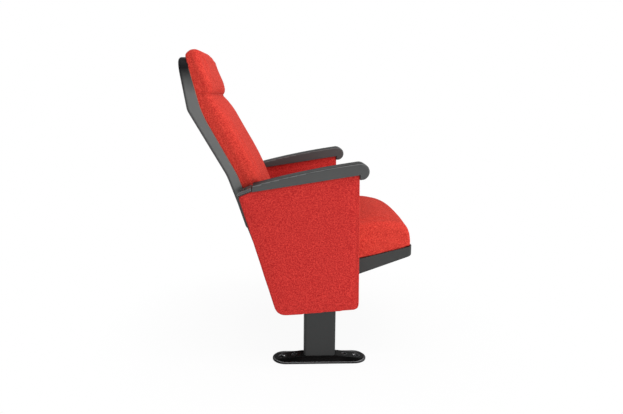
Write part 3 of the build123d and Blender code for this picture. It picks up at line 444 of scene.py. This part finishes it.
def plywood_sheet():
    """Rotary-cut veneer: noise stretched into bands of two browns."""
    material, tree, shader = new_material("plywood", (0.60, 0.42, 0.25), Roughness=0.6)
    place = add_node(tree, "ShaderNodeTexCoord")
    stretch = add_node(tree, "ShaderNodeMapping")
    stretch.inputs["Scale"].default_value = (40, 3, 40)
    bands = add_node(tree, "ShaderNodeTexNoise", Scale=3.0, Detail=6.0, Distortion=0.6)
    colour = mix_colour(tree, bands.outputs["Fac"], (0.44, 0.28, 0.15), (0.70, 0.52, 0.33))
    join(tree, place.outputs["Object"], stretch.inputs["Vector"], stretch.outputs[0], bands.inputs["Vector"],
         colour, shader.inputs["Base Color"])
    add_bump(tree, shader, bands.outputs["Fac"], 0.2, 0.0003)
    return material


finishes = {
    "red_fabric": panel_cloth,
    "black_plastic": arm_plastic(),
    "black_steel": coated("black_powder_coat", (0.026, 0.027, 0.027), (0.12, 0.12, 0.12), (0.46, 0.58),
                          700.0, 0.0002, specular=0.2)[0],
    # The foot's pale edge colour at full amount is a painted highlight: light lines along its rims and deck
    # edge.
    "cast_foot": coated("foot_enamel", (0.003, 0.003, 0.003), (0.36, 0.36, 0.37), (0.24, 0.36),
                        160.0, 0.0004, edge=1.0, edge_width=0.0024, dust_and_top_shade_amount=0.01, specular=0.03)[0],
    "zinc_steel": bare_metal("zinc_plate", (0.62, 0.61, 0.58), (0.25, 0.42), 500.0),
    "spring_steel": bare_metal("spring_wire", (0.22, 0.22, 0.23), (0.28, 0.40), 900.0),
    "plywood": plywood_sheet(),
    "nylon": coated("nylon", (0.75, 0.73, 0.67), (0.80, 0.78, 0.72), (0.40, 0.50), 800.0, 0.0001)[0],
    "rubber": coated("stop_rubber", (0.022, 0.022, 0.022), (0.05, 0.05, 0.05), (0.75, 0.90),
                     500.0, 0.0003)[0]}
slot_of = {part["node"]: part["material_slot"] for part in frame["record"]["subparts"]}
special = {"back_shell": shell_plastic(),
           "seat_pan": coated("pan_plastic", (0.034, 0.036, 0.035), (0.10, 0.10, 0.10), (0.46, 0.58),
                              1100.0, 0.0002, specular=0.2, dust_and_top_shade_amount=0.04)[0]}
# The bracket's edges are painted much paler, with a strong edge amount.
special["back_bracket_left"] = special["back_bracket_right"] = coated(
    "bracket_paint", (0.045, 0.046, 0.046), (0.34, 0.34, 0.34), (0.40, 0.52), 700.0, 0.0002, edge=0.9)[0]

for name, node in nodes.items():
    node.data.materials.clear()
    node.data.materials.append(special.get(name, finishes[slot_of[name]]))
print("finishes:", len(bpy.data.materials))

# %% [markdown]
# ## Padding by cloth simulation
# Foam under a sewn cover swells between the places that hold it. Each pad starts from its
# measured solid, remeshed into even squares that are laid back on its faces, softened and
# moved in or out a little. Blender's cloth then blows it up from inside while the hidden rim
# is held. A cap on the way out and a much smaller one on the way in keep the pad full at its
# corners and inside the space that its solid holds.

# %% Padding helpers
square = 0.005
simulated_frames = 20


def new_piece(name, mesh, material, body):
    """Add a mesh as a piece that rides on a body."""
    piece = add_object(name, mesh)
    mesh.materials.clear()
    mesh.materials.append(material)
    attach(piece, body)
    return piece


def applied(piece):
    """The piece's mesh with its modifiers worked in; the modifiers are removed."""
    graph = bpy.context.evaluated_depsgraph_get()
    mesh = bpy.data.meshes.new_from_object(piece.evaluated_get(graph))
    piece.modifiers.clear()
    piece.data = mesh
    return mesh


def start_pad(name, mesh, draw_in, rounds=6):
    """One even skin over a solid, laid back on its faces, softened and drawn in."""
    pad, solid = [add_object(name, each) for each in (mesh, mesh.copy())]
    remesh = pad.modifiers.new("even squares", "REMESH")
    remesh.mode = "VOXEL"
    remesh.voxel_size = square
    pad.modifiers.new("on the faces", "SHRINKWRAP").target = solid
    smooth = pad.modifiers.new("soften", "SMOOTH")
    smooth.factor, smooth.iterations = 0.5, rounds
    mesh = applied(pad)
    bpy.data.objects.remove(solid)
    normals = [vertex.normal.copy() for vertex in mesh.vertices]
    for vertex, normal in zip(mesh.vertices, normals):
        vertex.co -= normal * draw_in
    return pad


def blow_up(pad, held, cap, inward=0.0008, pressure=4.0, stiffness=15):
    """Swell a pad as cloth while the held points stay, and cap how far a point moves."""
    starts = [(vertex.co.copy(), vertex.normal.copy()) for vertex in pad.data.vertices]
    group = pad.vertex_groups.new(name="held")
    for vertex in pad.data.vertices:
        group.add([vertex.index], held(vertex.co), "REPLACE")
    cloth = pad.modifiers.new("cloth", "CLOTH")
    settings = cloth.settings
    settings.quality = 5
    settings.mass = 0.3
    settings.tension_stiffness = settings.compression_stiffness = stiffness
    settings.shear_stiffness = 5
    settings.bending_stiffness = 0.5
    settings.vertex_group_mass = "held"
    settings.use_pressure = True
    settings.uniform_pressure_force = pressure
    settings.effector_weights.gravity = 0
    cloth.point_cache.frame_start, cloth.point_cache.frame_end = 1, simulated_frames
    for number in range(1, simulated_frames + 1):
        bpy.context.scene.frame_set(number)
    mesh = applied(pad)
    bpy.context.scene.frame_set(1)
    furthest = 0
    for vertex, (start, normal) in zip(mesh.vertices, starts):
        move = vertex.co - start
        furthest = max(furthest, move.length)
        if move.length > cap:
            move *= cap / move.length
        sunk = -inward - move.dot(normal)
        if sunk > 0:
            move += normal * sunk
        vertex.co = start + move
    print(pad.name, len(mesh.vertices), "points, moved up to", round(furthest * 1000, 1), "mm")


def finish_pad(pad, waves, rounds=2):
    """Even out the skin, give the foam its slight unevenness and subdivide once."""
    smooth = pad.modifiers.new("soften", "SMOOTH")
    smooth.factor, smooth.iterations = 0.5, rounds
    divide = pad.modifiers.new("finer", "SUBSURF")
    divide.levels = divide.render_levels = 1
    mesh = applied(pad)
    normals = [vertex.normal.copy() for vertex in mesh.vertices]
    for vertex, normal in zip(mesh.vertices, normals):
        vertex.co += normal * waves * noise.noise(vertex.co * 14)
    mesh.shade_smooth()
    return mesh


def use_pad(pad, cloth, body, fill, *stands_for):
    """Clothe a finished pad and let it stand for its measured nodes."""
    pad.data.materials.clear()
    pad.data.materials.append(cloth)
    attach(pad, body)
    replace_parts(pad, *stands_for)
    return pad


def fall(value, low, high):
    """Smoothly from 1 below low to 0 above high."""
    share = min(1.0, max(0.0, (value - low) / (high - low)))
    return 1 - share * share * (3 - 2 * share)

# %% [markdown]
# ## Seams and stitches
# A seam pulls the cover down to a line. Remeshing would melt anything narrower than a square,
# so seams come after it: the skin is cut along three close parallel planes, which adds edges
# just there, and the middle line is pressed in. Stitches are real short loops of thread,
# laid on the skin where rays from outside find it. Stitches, panels and screws are all built
# from rings of points, skinned from one to the next.

# %% Seam and stitch helpers
def add_ring(shape, centre, side, other, reaches):
    """A ring of points round a centre, in the plane of two directions, one for each reach."""
    turns = [math.tau * number / len(reaches) for number in range(len(reaches))]
    return [shape.verts.new(centre + (side * math.cos(turn) + other * math.sin(turn)) * reach)
            for turn, reach in zip(turns, reaches)]


def skin_rings(shape, rings):
    """Faces from each ring to the next, and one across each end."""
    for ring, after in zip(rings, rings[1:]):
        for number in range(len(ring)):
            shape.faces.new((ring[number], ring[number - 1], after[number - 1], after[number]))
    shape.faces.new(rings[0])
    shape.faces.new(rings[-1][::-1])


def new_mesh(name, shape, recalculate=True):
    """Turn a built shape into a mesh with its faces pointing out."""
    if recalculate:
        bmesh.ops.recalc_face_normals(shape, faces=shape.faces)
    mesh = bpy.data.meshes.new(name)
    shape.to_mesh(mesh)
    shape.free()
    return mesh


def press_seam(mesh, point, across, width, depth, outside):
    """Press a narrow V into a skin along a plane; outside picks the points it shows on."""
    shape = bmesh.new()
    shape.from_mesh(mesh)
    across = Vector(across).normalized()
    for offset in (-width / 2, width / 2, 0.0):
        everything = [*shape.verts, *shape.edges, *shape.faces]
        cut = bmesh.ops.bisect_plane(shape, geom=everything, dist=1e-6, plane_no=across,
                                     plane_co=Vector(point) + across * offset)
    shape.normal_update()
    line = [item for item in cut["geom_cut"] if isinstance(item, bmesh.types.BMVert) and outside(item)]
    for vertex, normal in [(vertex, vertex.normal.copy()) for vertex in line]:
        vertex.co -= normal * depth
    shape.to_mesh(mesh)
    shape.free()
    mesh.shade_smooth()
    return len(line)


def skin_finder(piece):
    """Search tree of a piece's skin."""
    mesh = piece.data
    return BVHTree.FromPolygons([vertex.co.copy() for vertex in mesh.vertices],
                                [tuple(face.vertices) for face in mesh.polygons])


def lay_stitches(name, skin, rays, step=0.0062, length=0.0042, thickness=0.00035, around=6):
    """Short loops of thread along the line where rays (from, towards) meet the skin."""
    hits = [skin.ray_cast(Vector(start), Vector(way).normalized())[:2] for start, way in rays]
    hits = [(place, normal) for place, normal in hits if place is not None]
    shape = bmesh.new()
    gone, due, count = 0.0, step / 2, 0
    for (place, normal), (after, _) in zip(hits, hits[1:]):
        run = after - place
        while run.length and due <= gone + run.length:
            centre = place + run * ((due - gone) / run.length)
            along, side = run.normalized(), run.normalized().cross(normal).normalized()
            rings = []
            for share in (-0.5, -0.42, -0.2, 0.2, 0.42, 0.5):
                lift = thickness * (1.0 - 14 * abs(share) ** 3) * 0.8
                radius = thickness * (0.35 if abs(share) == 0.5 else 1.0)
                middle = centre + along * share * length + normal * lift
                rings.append(add_ring(shape, middle, side, normal, [radius] * around))
            skin_rings(shape, rings)
            due, count = due + step, count + 1
        gone += run.length
    mesh = new_mesh(name, shape)
    mesh.shade_smooth()
    print(name, count, "stitches")
    return new_piece(name, mesh, thread_material, "stand")

# %% [markdown]
# ## Seat cushion
# A block of foam on a board, with a crowned top and a rounded front, held at its lower rim by
# the edge of the pan. What lies below the pan's edge is held; the rest swells.

# %% Seat cushion
def height_on(line, along):
    """Height of a broken line over a distance."""
    for (x0, z0), (x1, z1) in zip(line, line[1:]):
        if along <= x1:
            break
    return z0 + (along - x0) * (z1 - z0) / (x1 - x0)


pan_edge = [(-0.2, 0.402), (0.030, 0.374), (0.095, 0.319), (0.135, 0.3235), (0.36, 0.3788)]
cushion_cap, cushion_waves = 0.005, 0.0007


def make_seat_cushion():
    """The pad of the seat, held below the pan's edge."""
    pad = start_pad("seat_pad", nodes["seat_cushion"].data.copy(), 0.0)
    blow_up(pad, lambda point: fall(point.z - height_on(pan_edge, point.x), 0.006, 0.020), cushion_cap)
    finish_pad(pad, waves=cushion_waves)
    return use_pad(pad, cushion_cloth_painted_brighter, "seat", 0.85, "seat_cushion")


make_seat_cushion()

# %% [markdown]
# ## Back cushion
# One long pad with a head roll above a sewn crease. Its rear rim is held by the shell, and the
# cover is pressed in and stitched along the crease, with the roll hanging over it a little.
# The rear rim is tucked in behind the shell's edge, so that the board stays hidden. Below the
# pad the cover runs on as a thin wrap round the board, which is too thin to remesh, so it is
# made as a sheet with a hem.

# %% Back cushion
parting_line = [(0.300, -0.150), (0.600, -0.2628), (0.8008, -0.3750), (0.9757, -0.4215), (1.05, -0.4415)]
crease_height, crease_width, crease_depth = 0.862, 0.0040, 0.0040
stitches_off_crease = 0.0045
roll_overhang, roll_bulge = 0.034, 0.0038
rim_tuck = 0.0034
pad_foot = 0.383


def parting(height):
    """Where the back cushion meets the shell, along X, at a height."""
    return height_on(parting_line, height)


def upper_part(mesh, height):
    """What lies above a height, closed again with a level face."""
    shape = bmesh.new()
    shape.from_mesh(mesh)
    bmesh.ops.remove_doubles(shape, verts=shape.verts, dist=1e-6)
    bmesh.ops.bisect_plane(shape, geom=[*shape.verts, *shape.edges, *shape.faces], dist=1e-6,
                           plane_co=(0, 0, height), plane_no=(0, 0, -1), clear_outer=True)
    bmesh.ops.holes_fill(shape, edges=[edge for edge in shape.edges if edge.is_boundary])
    return new_mesh(mesh.name + "_upper", shape, recalculate=False)


def make_wrap(low=0.346, high=0.430, half=0.2375, thickness=0.0034, steps=48):
    """The cover's lower end on the board, with a rounded hem, as rows of a closed strip."""
    rows = [(low + 0.0012, 0.0006), (low, 0.0022), (low + 0.0012, 0.0040), (low + 0.004, 0.0046),
            (low + 0.009, 0.0045), (low + 0.0105, 0.0036), (low + 0.012, thickness), (high, thickness),
            (high, 0.0006)]
    across = [half * (2 * number / steps - 1) for number in range(steps + 1)]
    shape = bmesh.new()
    lines = [[shape.verts.new((parting(z) + ahead, y, z)) for y in across] for z, ahead in rows]
    for line, after in zip(lines, lines[1:] + lines[:1]):
        for number in range(steps):
            shape.faces.new((line[number], line[number + 1], after[number + 1], after[number]))
    shape.faces.new([line[0] for line in lines])
    shape.faces.new([line[-1] for line in reversed(lines)])
    bmesh.ops.recalc_face_normals(shape, faces=shape.faces)
    return shape


def make_back_cushion():
    """The pad of the back, held at its rim, its crease and its foot, with the wrap below."""
    pad = start_pad("back_pad", upper_part(nodes["back_cushion"].data, pad_foot), 0.0005)
    blow_up(pad, lambda point: max(fall(point.x - parting(point.z), 0.008, 0.022),
                                   fall(abs(point.z - crease_height), 0.002, 0.012) * 0.7,
                                   fall(point.z, 0.386, 0.400)), cushion_cap)
    mesh = finish_pad(pad, waves=cushion_waves)
    for vertex in mesh.vertices:
        ahead = vertex.co.x - parting(vertex.co.z)
        above = (vertex.co.z - crease_height) / roll_overhang
        if 0 < above < 1 and ahead > 0.02:
            vertex.co.x += roll_bulge * math.sin(math.pi * above ** 0.6)
        vertex.co.x -= rim_tuck * fall(ahead, 0.004, 0.014)
    pressed = press_seam(mesh, (0, 0, crease_height), (0, 0, 1), crease_width, crease_depth,
                         lambda vertex: vertex.co.x > parting(crease_height) + 0.008)
    shape = make_wrap()
    shape.from_mesh(mesh)
    shape.to_mesh(mesh)
    shape.free()
    mesh.shade_smooth()
    print("crease of", pressed, "points")
    return use_pad(pad, cushion_cloth_painted_brighter, "stand", 0.8, "back_cushion")


back_pad = make_back_cushion()


def rays_round_back(height, half=0.225, front_share=0.88, count=241):
    """Rays at one height, from one side of the back round its front to the other side."""
    centre = Vector((parting(height) + 0.012, 0, height))
    rays = []
    for number in range(count):
        share = 2 * number / (count - 1) - 1
        if abs(share) < front_share:
            rays.append((centre + Vector((0.5, half * share / front_share, 0)), (-1, 0, 0)))
        else:
            turn = math.radians(86) * (abs(share) - front_share) / (1 - front_share)
            side = math.copysign(1, share)
            way = Vector((math.cos(turn), side * math.sin(turn), 0))
            rays.append((centre + Vector((0, half * side, 0)) + way * 0.3, -way))
    return rays


back_skin = skin_finder(back_pad)
for name, offset in (("crease_stitches_upper", stitches_off_crease),
                     ("crease_stitches_lower", -stitches_off_crease)):
    rays = rays_round_back(crease_height + offset)
    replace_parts(lay_stitches(name, back_skin, rays), "back_cushion")

# %% [markdown]
# ## Side panels
# Each side panel is two padded halves screwed to a steel plate: a board with thin foam under
# cloth. A strip of cloth runs round the edge, and its seam shows as a dark line just inside
# the front edge. One half is made, simulated and sewn, then mirrored for the other three. The
# outline is drawn from its corner points and roundings, because a remeshed copy of the
# measured solid would lose its thin walls beside the post.

# %% Side panel form
panel_corners = [(0.1245, 0.1745), (-0.138, 0.1535), (-0.259, 0.544), (-0.219, 0.560), (0.118, 0.6123)]
panel_radii = [0.018, 0.038, 0.006, 0.010, 0.003]
plate_face, outer_face, plate_middle = 0.292, 0.315, 0.290
panel_cap, panel_waves, panel_growth = 0.0024, 0.0005, 0.0012
seam_inset, seam_width, seam_depth, stitch_inset = 0.0052, 0.0044, 0.0034, 0.0095
front_low, front_top = Vector((0.1245, 0, 0.1745)), Vector((0.118, 0, 0.6123))
inward = (front_top - front_low).cross(Vector((0, 1, 0))).normalized()
inward = inward if inward.x < 0 else -inward


def rounded_outline(corners, radii, steps=7):
    """Points round an outline, with an arc at each corner."""
    points = []
    for number, (corner, radius) in enumerate(zip(corners, radii)):
        here = Vector(corner)
        back = (Vector(corners[number - 1]) - here).normalized()
        ahead = (Vector(corners[(number + 1) % len(corners)]) - here).normalized()
        half = back.angle(ahead) / 2
        centre = here + (back + ahead).normalized() * radius / math.sin(half)
        first = here + back * radius / math.tan(half) - centre
        last = here + ahead * radius / math.tan(half) - centre
        turn = first.angle(last)
        for step in range(steps + 1):
            share = step / steps
            reach = first * math.sin((1 - share) * turn) + last * math.sin(share * turn)
            points.append(centre + reach / math.sin(turn))
    return points


def panel_block():
    """The outline as a solid between the plate and the outer face."""
    shape = bmesh.new()
    outline = rounded_outline(panel_corners, panel_radii)
    skin_rings(shape, [[shape.verts.new((x, y, z)) for x, z in outline] for y in (plate_face, outer_face)])
    return new_mesh("panel_block", shape)

# %% Side panel pads
def make_panel_half():
    """One padded half, on the left and outside the plate."""
    half = start_pad("panel_outer_pad_left", panel_block(), -panel_growth, rounds=3)
    blow_up(half, lambda point: fall(point.y, plate_face + 0.005, plate_face + 0.014), panel_cap)
    mesh = finish_pad(half, rounds=1, waves=panel_waves)
    press_seam(mesh, front_low + inward * seam_inset, inward, seam_width, seam_depth,
               lambda vertex: vertex.co.y > plate_face + 0.010)
    return half


def mirrored(mesh, middle, name):
    """A mesh mirrored across a plane of constant Y."""
    copy = mesh.copy()
    copy.name = name
    for vertex in copy.vertices:
        vertex.co.y = 2 * middle - vertex.co.y
    copy.flip_normals()
    return copy


panel_outer_left = make_panel_half()
inner_mesh = mirrored(panel_outer_left.data, plate_middle, "panel_inner")

# %% [markdown]
# ### Inner halves
# The inner half carries the screws and the hinge. The cloth dips round each screw head and is
# squeezed flat under the hinge plate, which the copy gets before it is mirrored to the right.

# %% Dips round the screws
screws_at = [(0.080, 0.560), (0.085, 0.230), (-0.110, 0.200), (-0.195, 0.500)]
inner_face, dip_depth, plate_gap = 0.265, 0.0036, 0.0003


def dip_inner(mesh):
    """Dips round the screw heads, and a flat under the hinge plate."""
    low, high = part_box("hinge_plate_left")
    for vertex in mesh.vertices:
        place = vertex.co
        if place.y > inner_face + 0.006:
            continue
        for x, z in screws_at:
            place.y += dip_depth * fall(math.hypot(place.x - x, place.z - z), 0.0060, 0.0190)
        outside = max(low.x - place.x, place.x - high.x, low.z - place.z, place.z - high.z, 0.0)
        flat = fall(outside, 0.001, 0.012)
        place.y += max(0.0, inner_face + plate_gap - place.y) * flat


dip_inner(inner_mesh)
panel_pads = {"panel_outer_left": panel_outer_left}
for name, mesh in (("panel_inner_left", inner_mesh),
                   ("panel_outer_right", mirrored(panel_outer_left.data, 0, "panel_outer_right")),
                   ("panel_inner_right", mirrored(inner_mesh, 0, "panel_inner_right"))):
    panel_pads[name] = add_object(name.replace("panel_", "panel_pad_"), mesh)
for name, pad in panel_pads.items():
    use_pad(pad, panel_cloth, "stand", 0.7, name)
print("panel halves:", len(panel_pads), "of", len(inner_mesh.vertices), "points")

# %% Panel stitches
def rays_down_panel(sign, count=91):
    """Rays on to a panel's outer face, along a line beside its front seam."""
    low = front_low + inward * stitch_inset + Vector((0, sign * 0.40, 0.016))
    high = front_top + inward * stitch_inset + Vector((0, sign * 0.40, -0.006))
    return [(low.lerp(high, number / (count - 1)), (0, -sign, 0)) for number in range(count)]


for side_name, sign in (("left", 1), ("right", -1)):
    name = "panel_outer_" + side_name
    skin = skin_finder(panel_pads[name])
    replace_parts(lay_stitches("panel_stitches_" + side_name, skin, rays_down_panel(sign)), name)

# %% [markdown]
# ## Screws and bolts
# The measured fasteners are plain bars with heads. Each is read from its node: its axis, which
# end carries the head, and its sizes. The points of a round solid spread equally far in two
# main directions, so its axis is the third, even where the head is wider than the shank is
# long. Then a real one is built in its place, ring by ring, with a socket, a cross or a
# chamfered hexagon, and with a helical thread. A ring's radius may change with the angle,
# which is how the drives are shaped, and with a phase that follows the height, which turns
# plain ridges into a thread.

# %% Fastener measures
def loose_solids(name):
    """The points of each solid in a node."""
    shape = bmesh.new()
    shape.from_mesh(nodes[name].data)
    bmesh.ops.remove_doubles(shape, verts=shape.verts, dist=2e-6)
    shape.verts.index_update()
    shape.verts.ensure_lookup_table()
    left, solids = set(range(len(shape.verts))), []
    while left:
        found, edge = set(), {min(left)}
        while edge:
            found |= edge
            left -= edge
            edge = {vertex.index for number in edge for link in shape.verts[number].link_edges
                    for vertex in link.verts} & left
        solids.append([shape.verts[number].co.copy() for number in sorted(found)])
    shape.free()
    return solids


def round_axis(points):
    """Axis of a round solid: the main direction whose spread differs from the other two."""
    spreads, ways = numpy.linalg.eigh(numpy.cov(numpy.array(points).T))
    odd = 0 if spreads[1] - spreads[0] > spreads[2] - spreads[1] else 2
    return Vector(ways[:, odd])


def off_axis(point, heart, way):
    """How far a point lies from the axis through the heart."""
    return (point - heart - way * (point - heart).dot(way)).length


def measure_screw(points):
    """Seat of the head, way out of the head, head radius and height, shank radius and length."""
    way = round_axis(points)
    heights = [point.dot(way) for point in points]
    middle = (max(heights) + min(heights)) / 2
    ends = []
    for sign in (-1, 1):
        side = [point for point, height in zip(points, heights) if (height - middle) * sign > 0]
        heart = sum(side, Vector()) / len(side)
        ends.append(max(off_axis(point, heart, way) for point in side))
    if ends[0] > ends[1]:
        way, heights = -way, [-height for height in heights]
    tip_height = min(heights) + 1e-5
    tip = [point for point, height in zip(points, heights) if height < tip_height]
    heart = sum(tip, Vector()) / len(tip)
    radii = [off_axis(point, heart, way) for point in points]
    shank = max(radius for radius, height in zip(radii, heights) if height < tip_height)
    seat = min(height for radius, height in zip(radii, heights) if radius > 1.12 * shank)
    return {"seat": heart + way * (seat - heart.dot(way)), "way": way, "head": max(radii),
            "head_height": max(heights) - seat, "shank": shank, "length": seat - min(heights)}

# %% Fastener forms
def hexagon(turn):
    """Reach of a hexagon at an angle, for a unit distance to its flats."""
    return 1 / math.cos((turn + math.pi / 6) % (math.pi / 3) - math.pi / 6)


def cross(turn):
    """Reach of a cross-shaped recess at an angle."""
    return 1.0 if abs((turn + math.pi / 4) % (math.pi / 2) - math.pi / 4) < 0.22 else 0.36


def head_rings(kind, radius, height):
    """A head from its seat to the bottom of its drive: (height, radius, form) of each ring."""
    if kind == "socket":
        shares = [(0.0, 1.0, None), (0.35, 1.0, None), (0.72, 0.90, None), (0.94, 0.68, None),
                  (1.0, 0.50, None), (1.0, 0.40, hexagon), (0.98, 0.38, hexagon),
                  (0.30, 0.37, hexagon), (0.22, 0.02, None)]
    elif kind == "hexagon":
        radius *= math.cos(math.pi / 6)
        shares = [(0.0, 0.94, None), (0.05, 0.94, None), (0.06, 1.0, hexagon), (0.86, 1.0, hexagon),
                  (1.0, 0.93, None), (1.0, 0.55, None), (0.92, 0.50, None), (0.92, 0.02, None)]
    else:
        shares = [(0.0, 0.55, None), (0.72, 1.0, None), (1.0, 0.98, None), (1.0, 0.66, None),
                  (1.0, 0.56, cross), (0.55, 0.40, cross), (0.35, 0.04, None)]
    return [(up * height, out * radius, form) for up, out, form in shares]


def build_screw(shape, kind, place, around=30, pitch_share=0.32):
    """Add one fastener: a threaded shank, the head and its drive, closed at both ends."""
    way, shank, length = place["way"], place["shank"], place["length"]
    side = way.orthogonal().normalized()
    other = way.cross(side)
    pitch = max(0.0010, pitch_share * shank)
    steps = int(length * 0.8 / pitch * 3)
    rings = [(-length, 0.35 * shank, None), (-length + 0.0004, 0.72 * shank, None)]
    rings += [(-length + 0.001 + number * pitch / 3, shank, "thread") for number in range(steps)]
    rings += [(rings[-1][0] + 0.0005, shank * 0.97, None), (-0.0002, shank * 0.97, None)]
    rings += head_rings(kind, place["head"], place["head_height"])
    lines = []
    for height, radius, form in rings:
        reaches = []
        for number in range(around):
            share = 1.0
            if form == "thread":
                share = 1 - 0.15 * abs(2 * ((height / pitch - number / around) % 1) - 1)
            elif form:
                share = form(math.tau * number / around)
            reaches.append(radius * share)
        lines.append(add_ring(shape, place["seat"] + way * height, side, other, reaches))
    skin_rings(shape, lines[::-1])

# %% Fasteners
fastener_kinds = {"panel_screws": "cross", "arm_screws": "socket", "bracket_screws": "socket",
                  "back_screws": "socket", "pan_screws": "socket", "seat_arm_screws": "socket",
                  "back_bolts": "hexagon", "hinge_bolts": "hexagon", "post_bolts": "hexagon"}


def make_fasteners(name, kind):
    """Real fasteners in place of a node's plain ones."""
    shape = bmesh.new()
    places = [measure_screw(points) for points in loose_solids(name)]
    for place in places:
        build_screw(shape, kind, place)
    mesh = new_mesh(name + "_threaded", shape)
    mesh.set_sharp_from_angle(angle=math.radians(35))
    piece = new_piece(name + "_threaded", mesh, special.get(name, finishes[slot_of[name]]),
                      nodes[name]["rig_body"])
    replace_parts(piece, name)
    print(name, len(places), "solids, shank", round(place["shank"] * 2000, 1), "x",
          round(place["length"] * 1000, 1), "mm")


for name, kind in fastener_kinds.items():
    make_fasteners(name, kind)

# %% [markdown]
# ## Floor
# A plain white floor that carries the seat's shadow. Its own glow, seen only by the camera
# and in reflections, grows with the distance from the seat, so that it ends in plain white
# with no horizon.

# %% Floor
def pale_floor():
    """Matt white, with a glow that grows with the distance."""
    material, tree, shader = new_material("pale_floor", (0.90, 0.90, 0.90), Roughness=0.9,
                                          Specular_IOR_Level=0.1)
    path = add_node(tree, "ShaderNodeLightPath")
    place = add_node(tree, "ShaderNodeTexCoord")
    away = add_node(tree, "ShaderNodeVectorMath", operation="LENGTH")
    glow = add_node(tree, "ShaderNodeEmission", Strength=1.0)
    mix = add_node(tree, "ShaderNodeMixShader")
    seen = calc(tree, "MAXIMUM", path.outputs["Is Camera Ray"], path.outputs["Is Glossy Ray"])
    output = tree.nodes["Material Output"]
    white = remap(tree, away.outputs["Value"], 0.20, 0.8, 0.93, 1.0)
    join(tree, place.outputs["Object"], away.inputs[0], calc(tree, "MULTIPLY", seen, white), mix.inputs[0],
         shader.outputs[0], mix.inputs[1], glow.outputs[0], mix.inputs[2],
         mix.outputs[0], output.inputs["Surface"])
    return material


floor_width, floor_drop = 60, 0.0005
bpy.ops.mesh.primitive_plane_add(size=floor_width, location=(0, 0, -floor_drop))
floor = bpy.context.object
floor.name = "floor"
floor.data.materials.append(pale_floor())

# %% [markdown]
# ## Light
# The surround is white to the camera and in reflections, and a soft grey as light. A large low
# panel beside the camera gives the side its even brightness and leaves the rear edges and the
# far panel darker. A panel in front fills the cushions, and a narrow strip overhead draws a
# thin light line along the rounded upper edges of the armrests. There the armrests' material
# also paints a grey highlight.

# %% Surround and lamps
def white_surround():
    """White where it is seen, and a soft grey as light."""
    world = bpy.data.worlds.new("surround")
    bpy.context.scene.world = world
    world.use_nodes = True
    tree = world.node_tree
    back = tree.nodes["Background"]
    path = add_node(tree, "ShaderNodeLightPath")
    seen = calc(tree, "MAXIMUM", path.outputs["Is Camera Ray"], path.outputs["Is Glossy Ray"])
    seen = calc(tree, "MAXIMUM", seen, path.outputs["Is Transmission Ray"])
    join(tree, remap(tree, seen, 0.0, 1.0, 0.32, 1.0), back.inputs["Strength"])
    back.inputs["Color"].default_value = (1, 1, 1, 1)


def panel_lamp(name, place, target, size, power):
    """A soft rectangular lamp that faces a point."""
    data = bpy.data.lights.new(name, "AREA")
    data.shape = "RECTANGLE"
    data.size, data.size_y = size
    data.energy = power
    lamp = add_object(name, data)
    lamp.location = place
    lamp.rotation_euler = (Vector(target) - Vector(place)).to_track_quat("-Z", "Y").to_euler()


white_surround()
panel_lamp("side_panel", (0.5, -3.3, 0.55), (-0.05, -0.3, 0.5), (1.8, 0.8), 47)
panel_lamp("front_panel", (3.0, -0.9, 1.7), (0, 0, 0.5), (1.6, 1.6), 50)
panel_lamp("top_strip", (0.0, -0.25, 2.3), (0.0, -0.25, 0.6), (1.8, 0.25), 15)
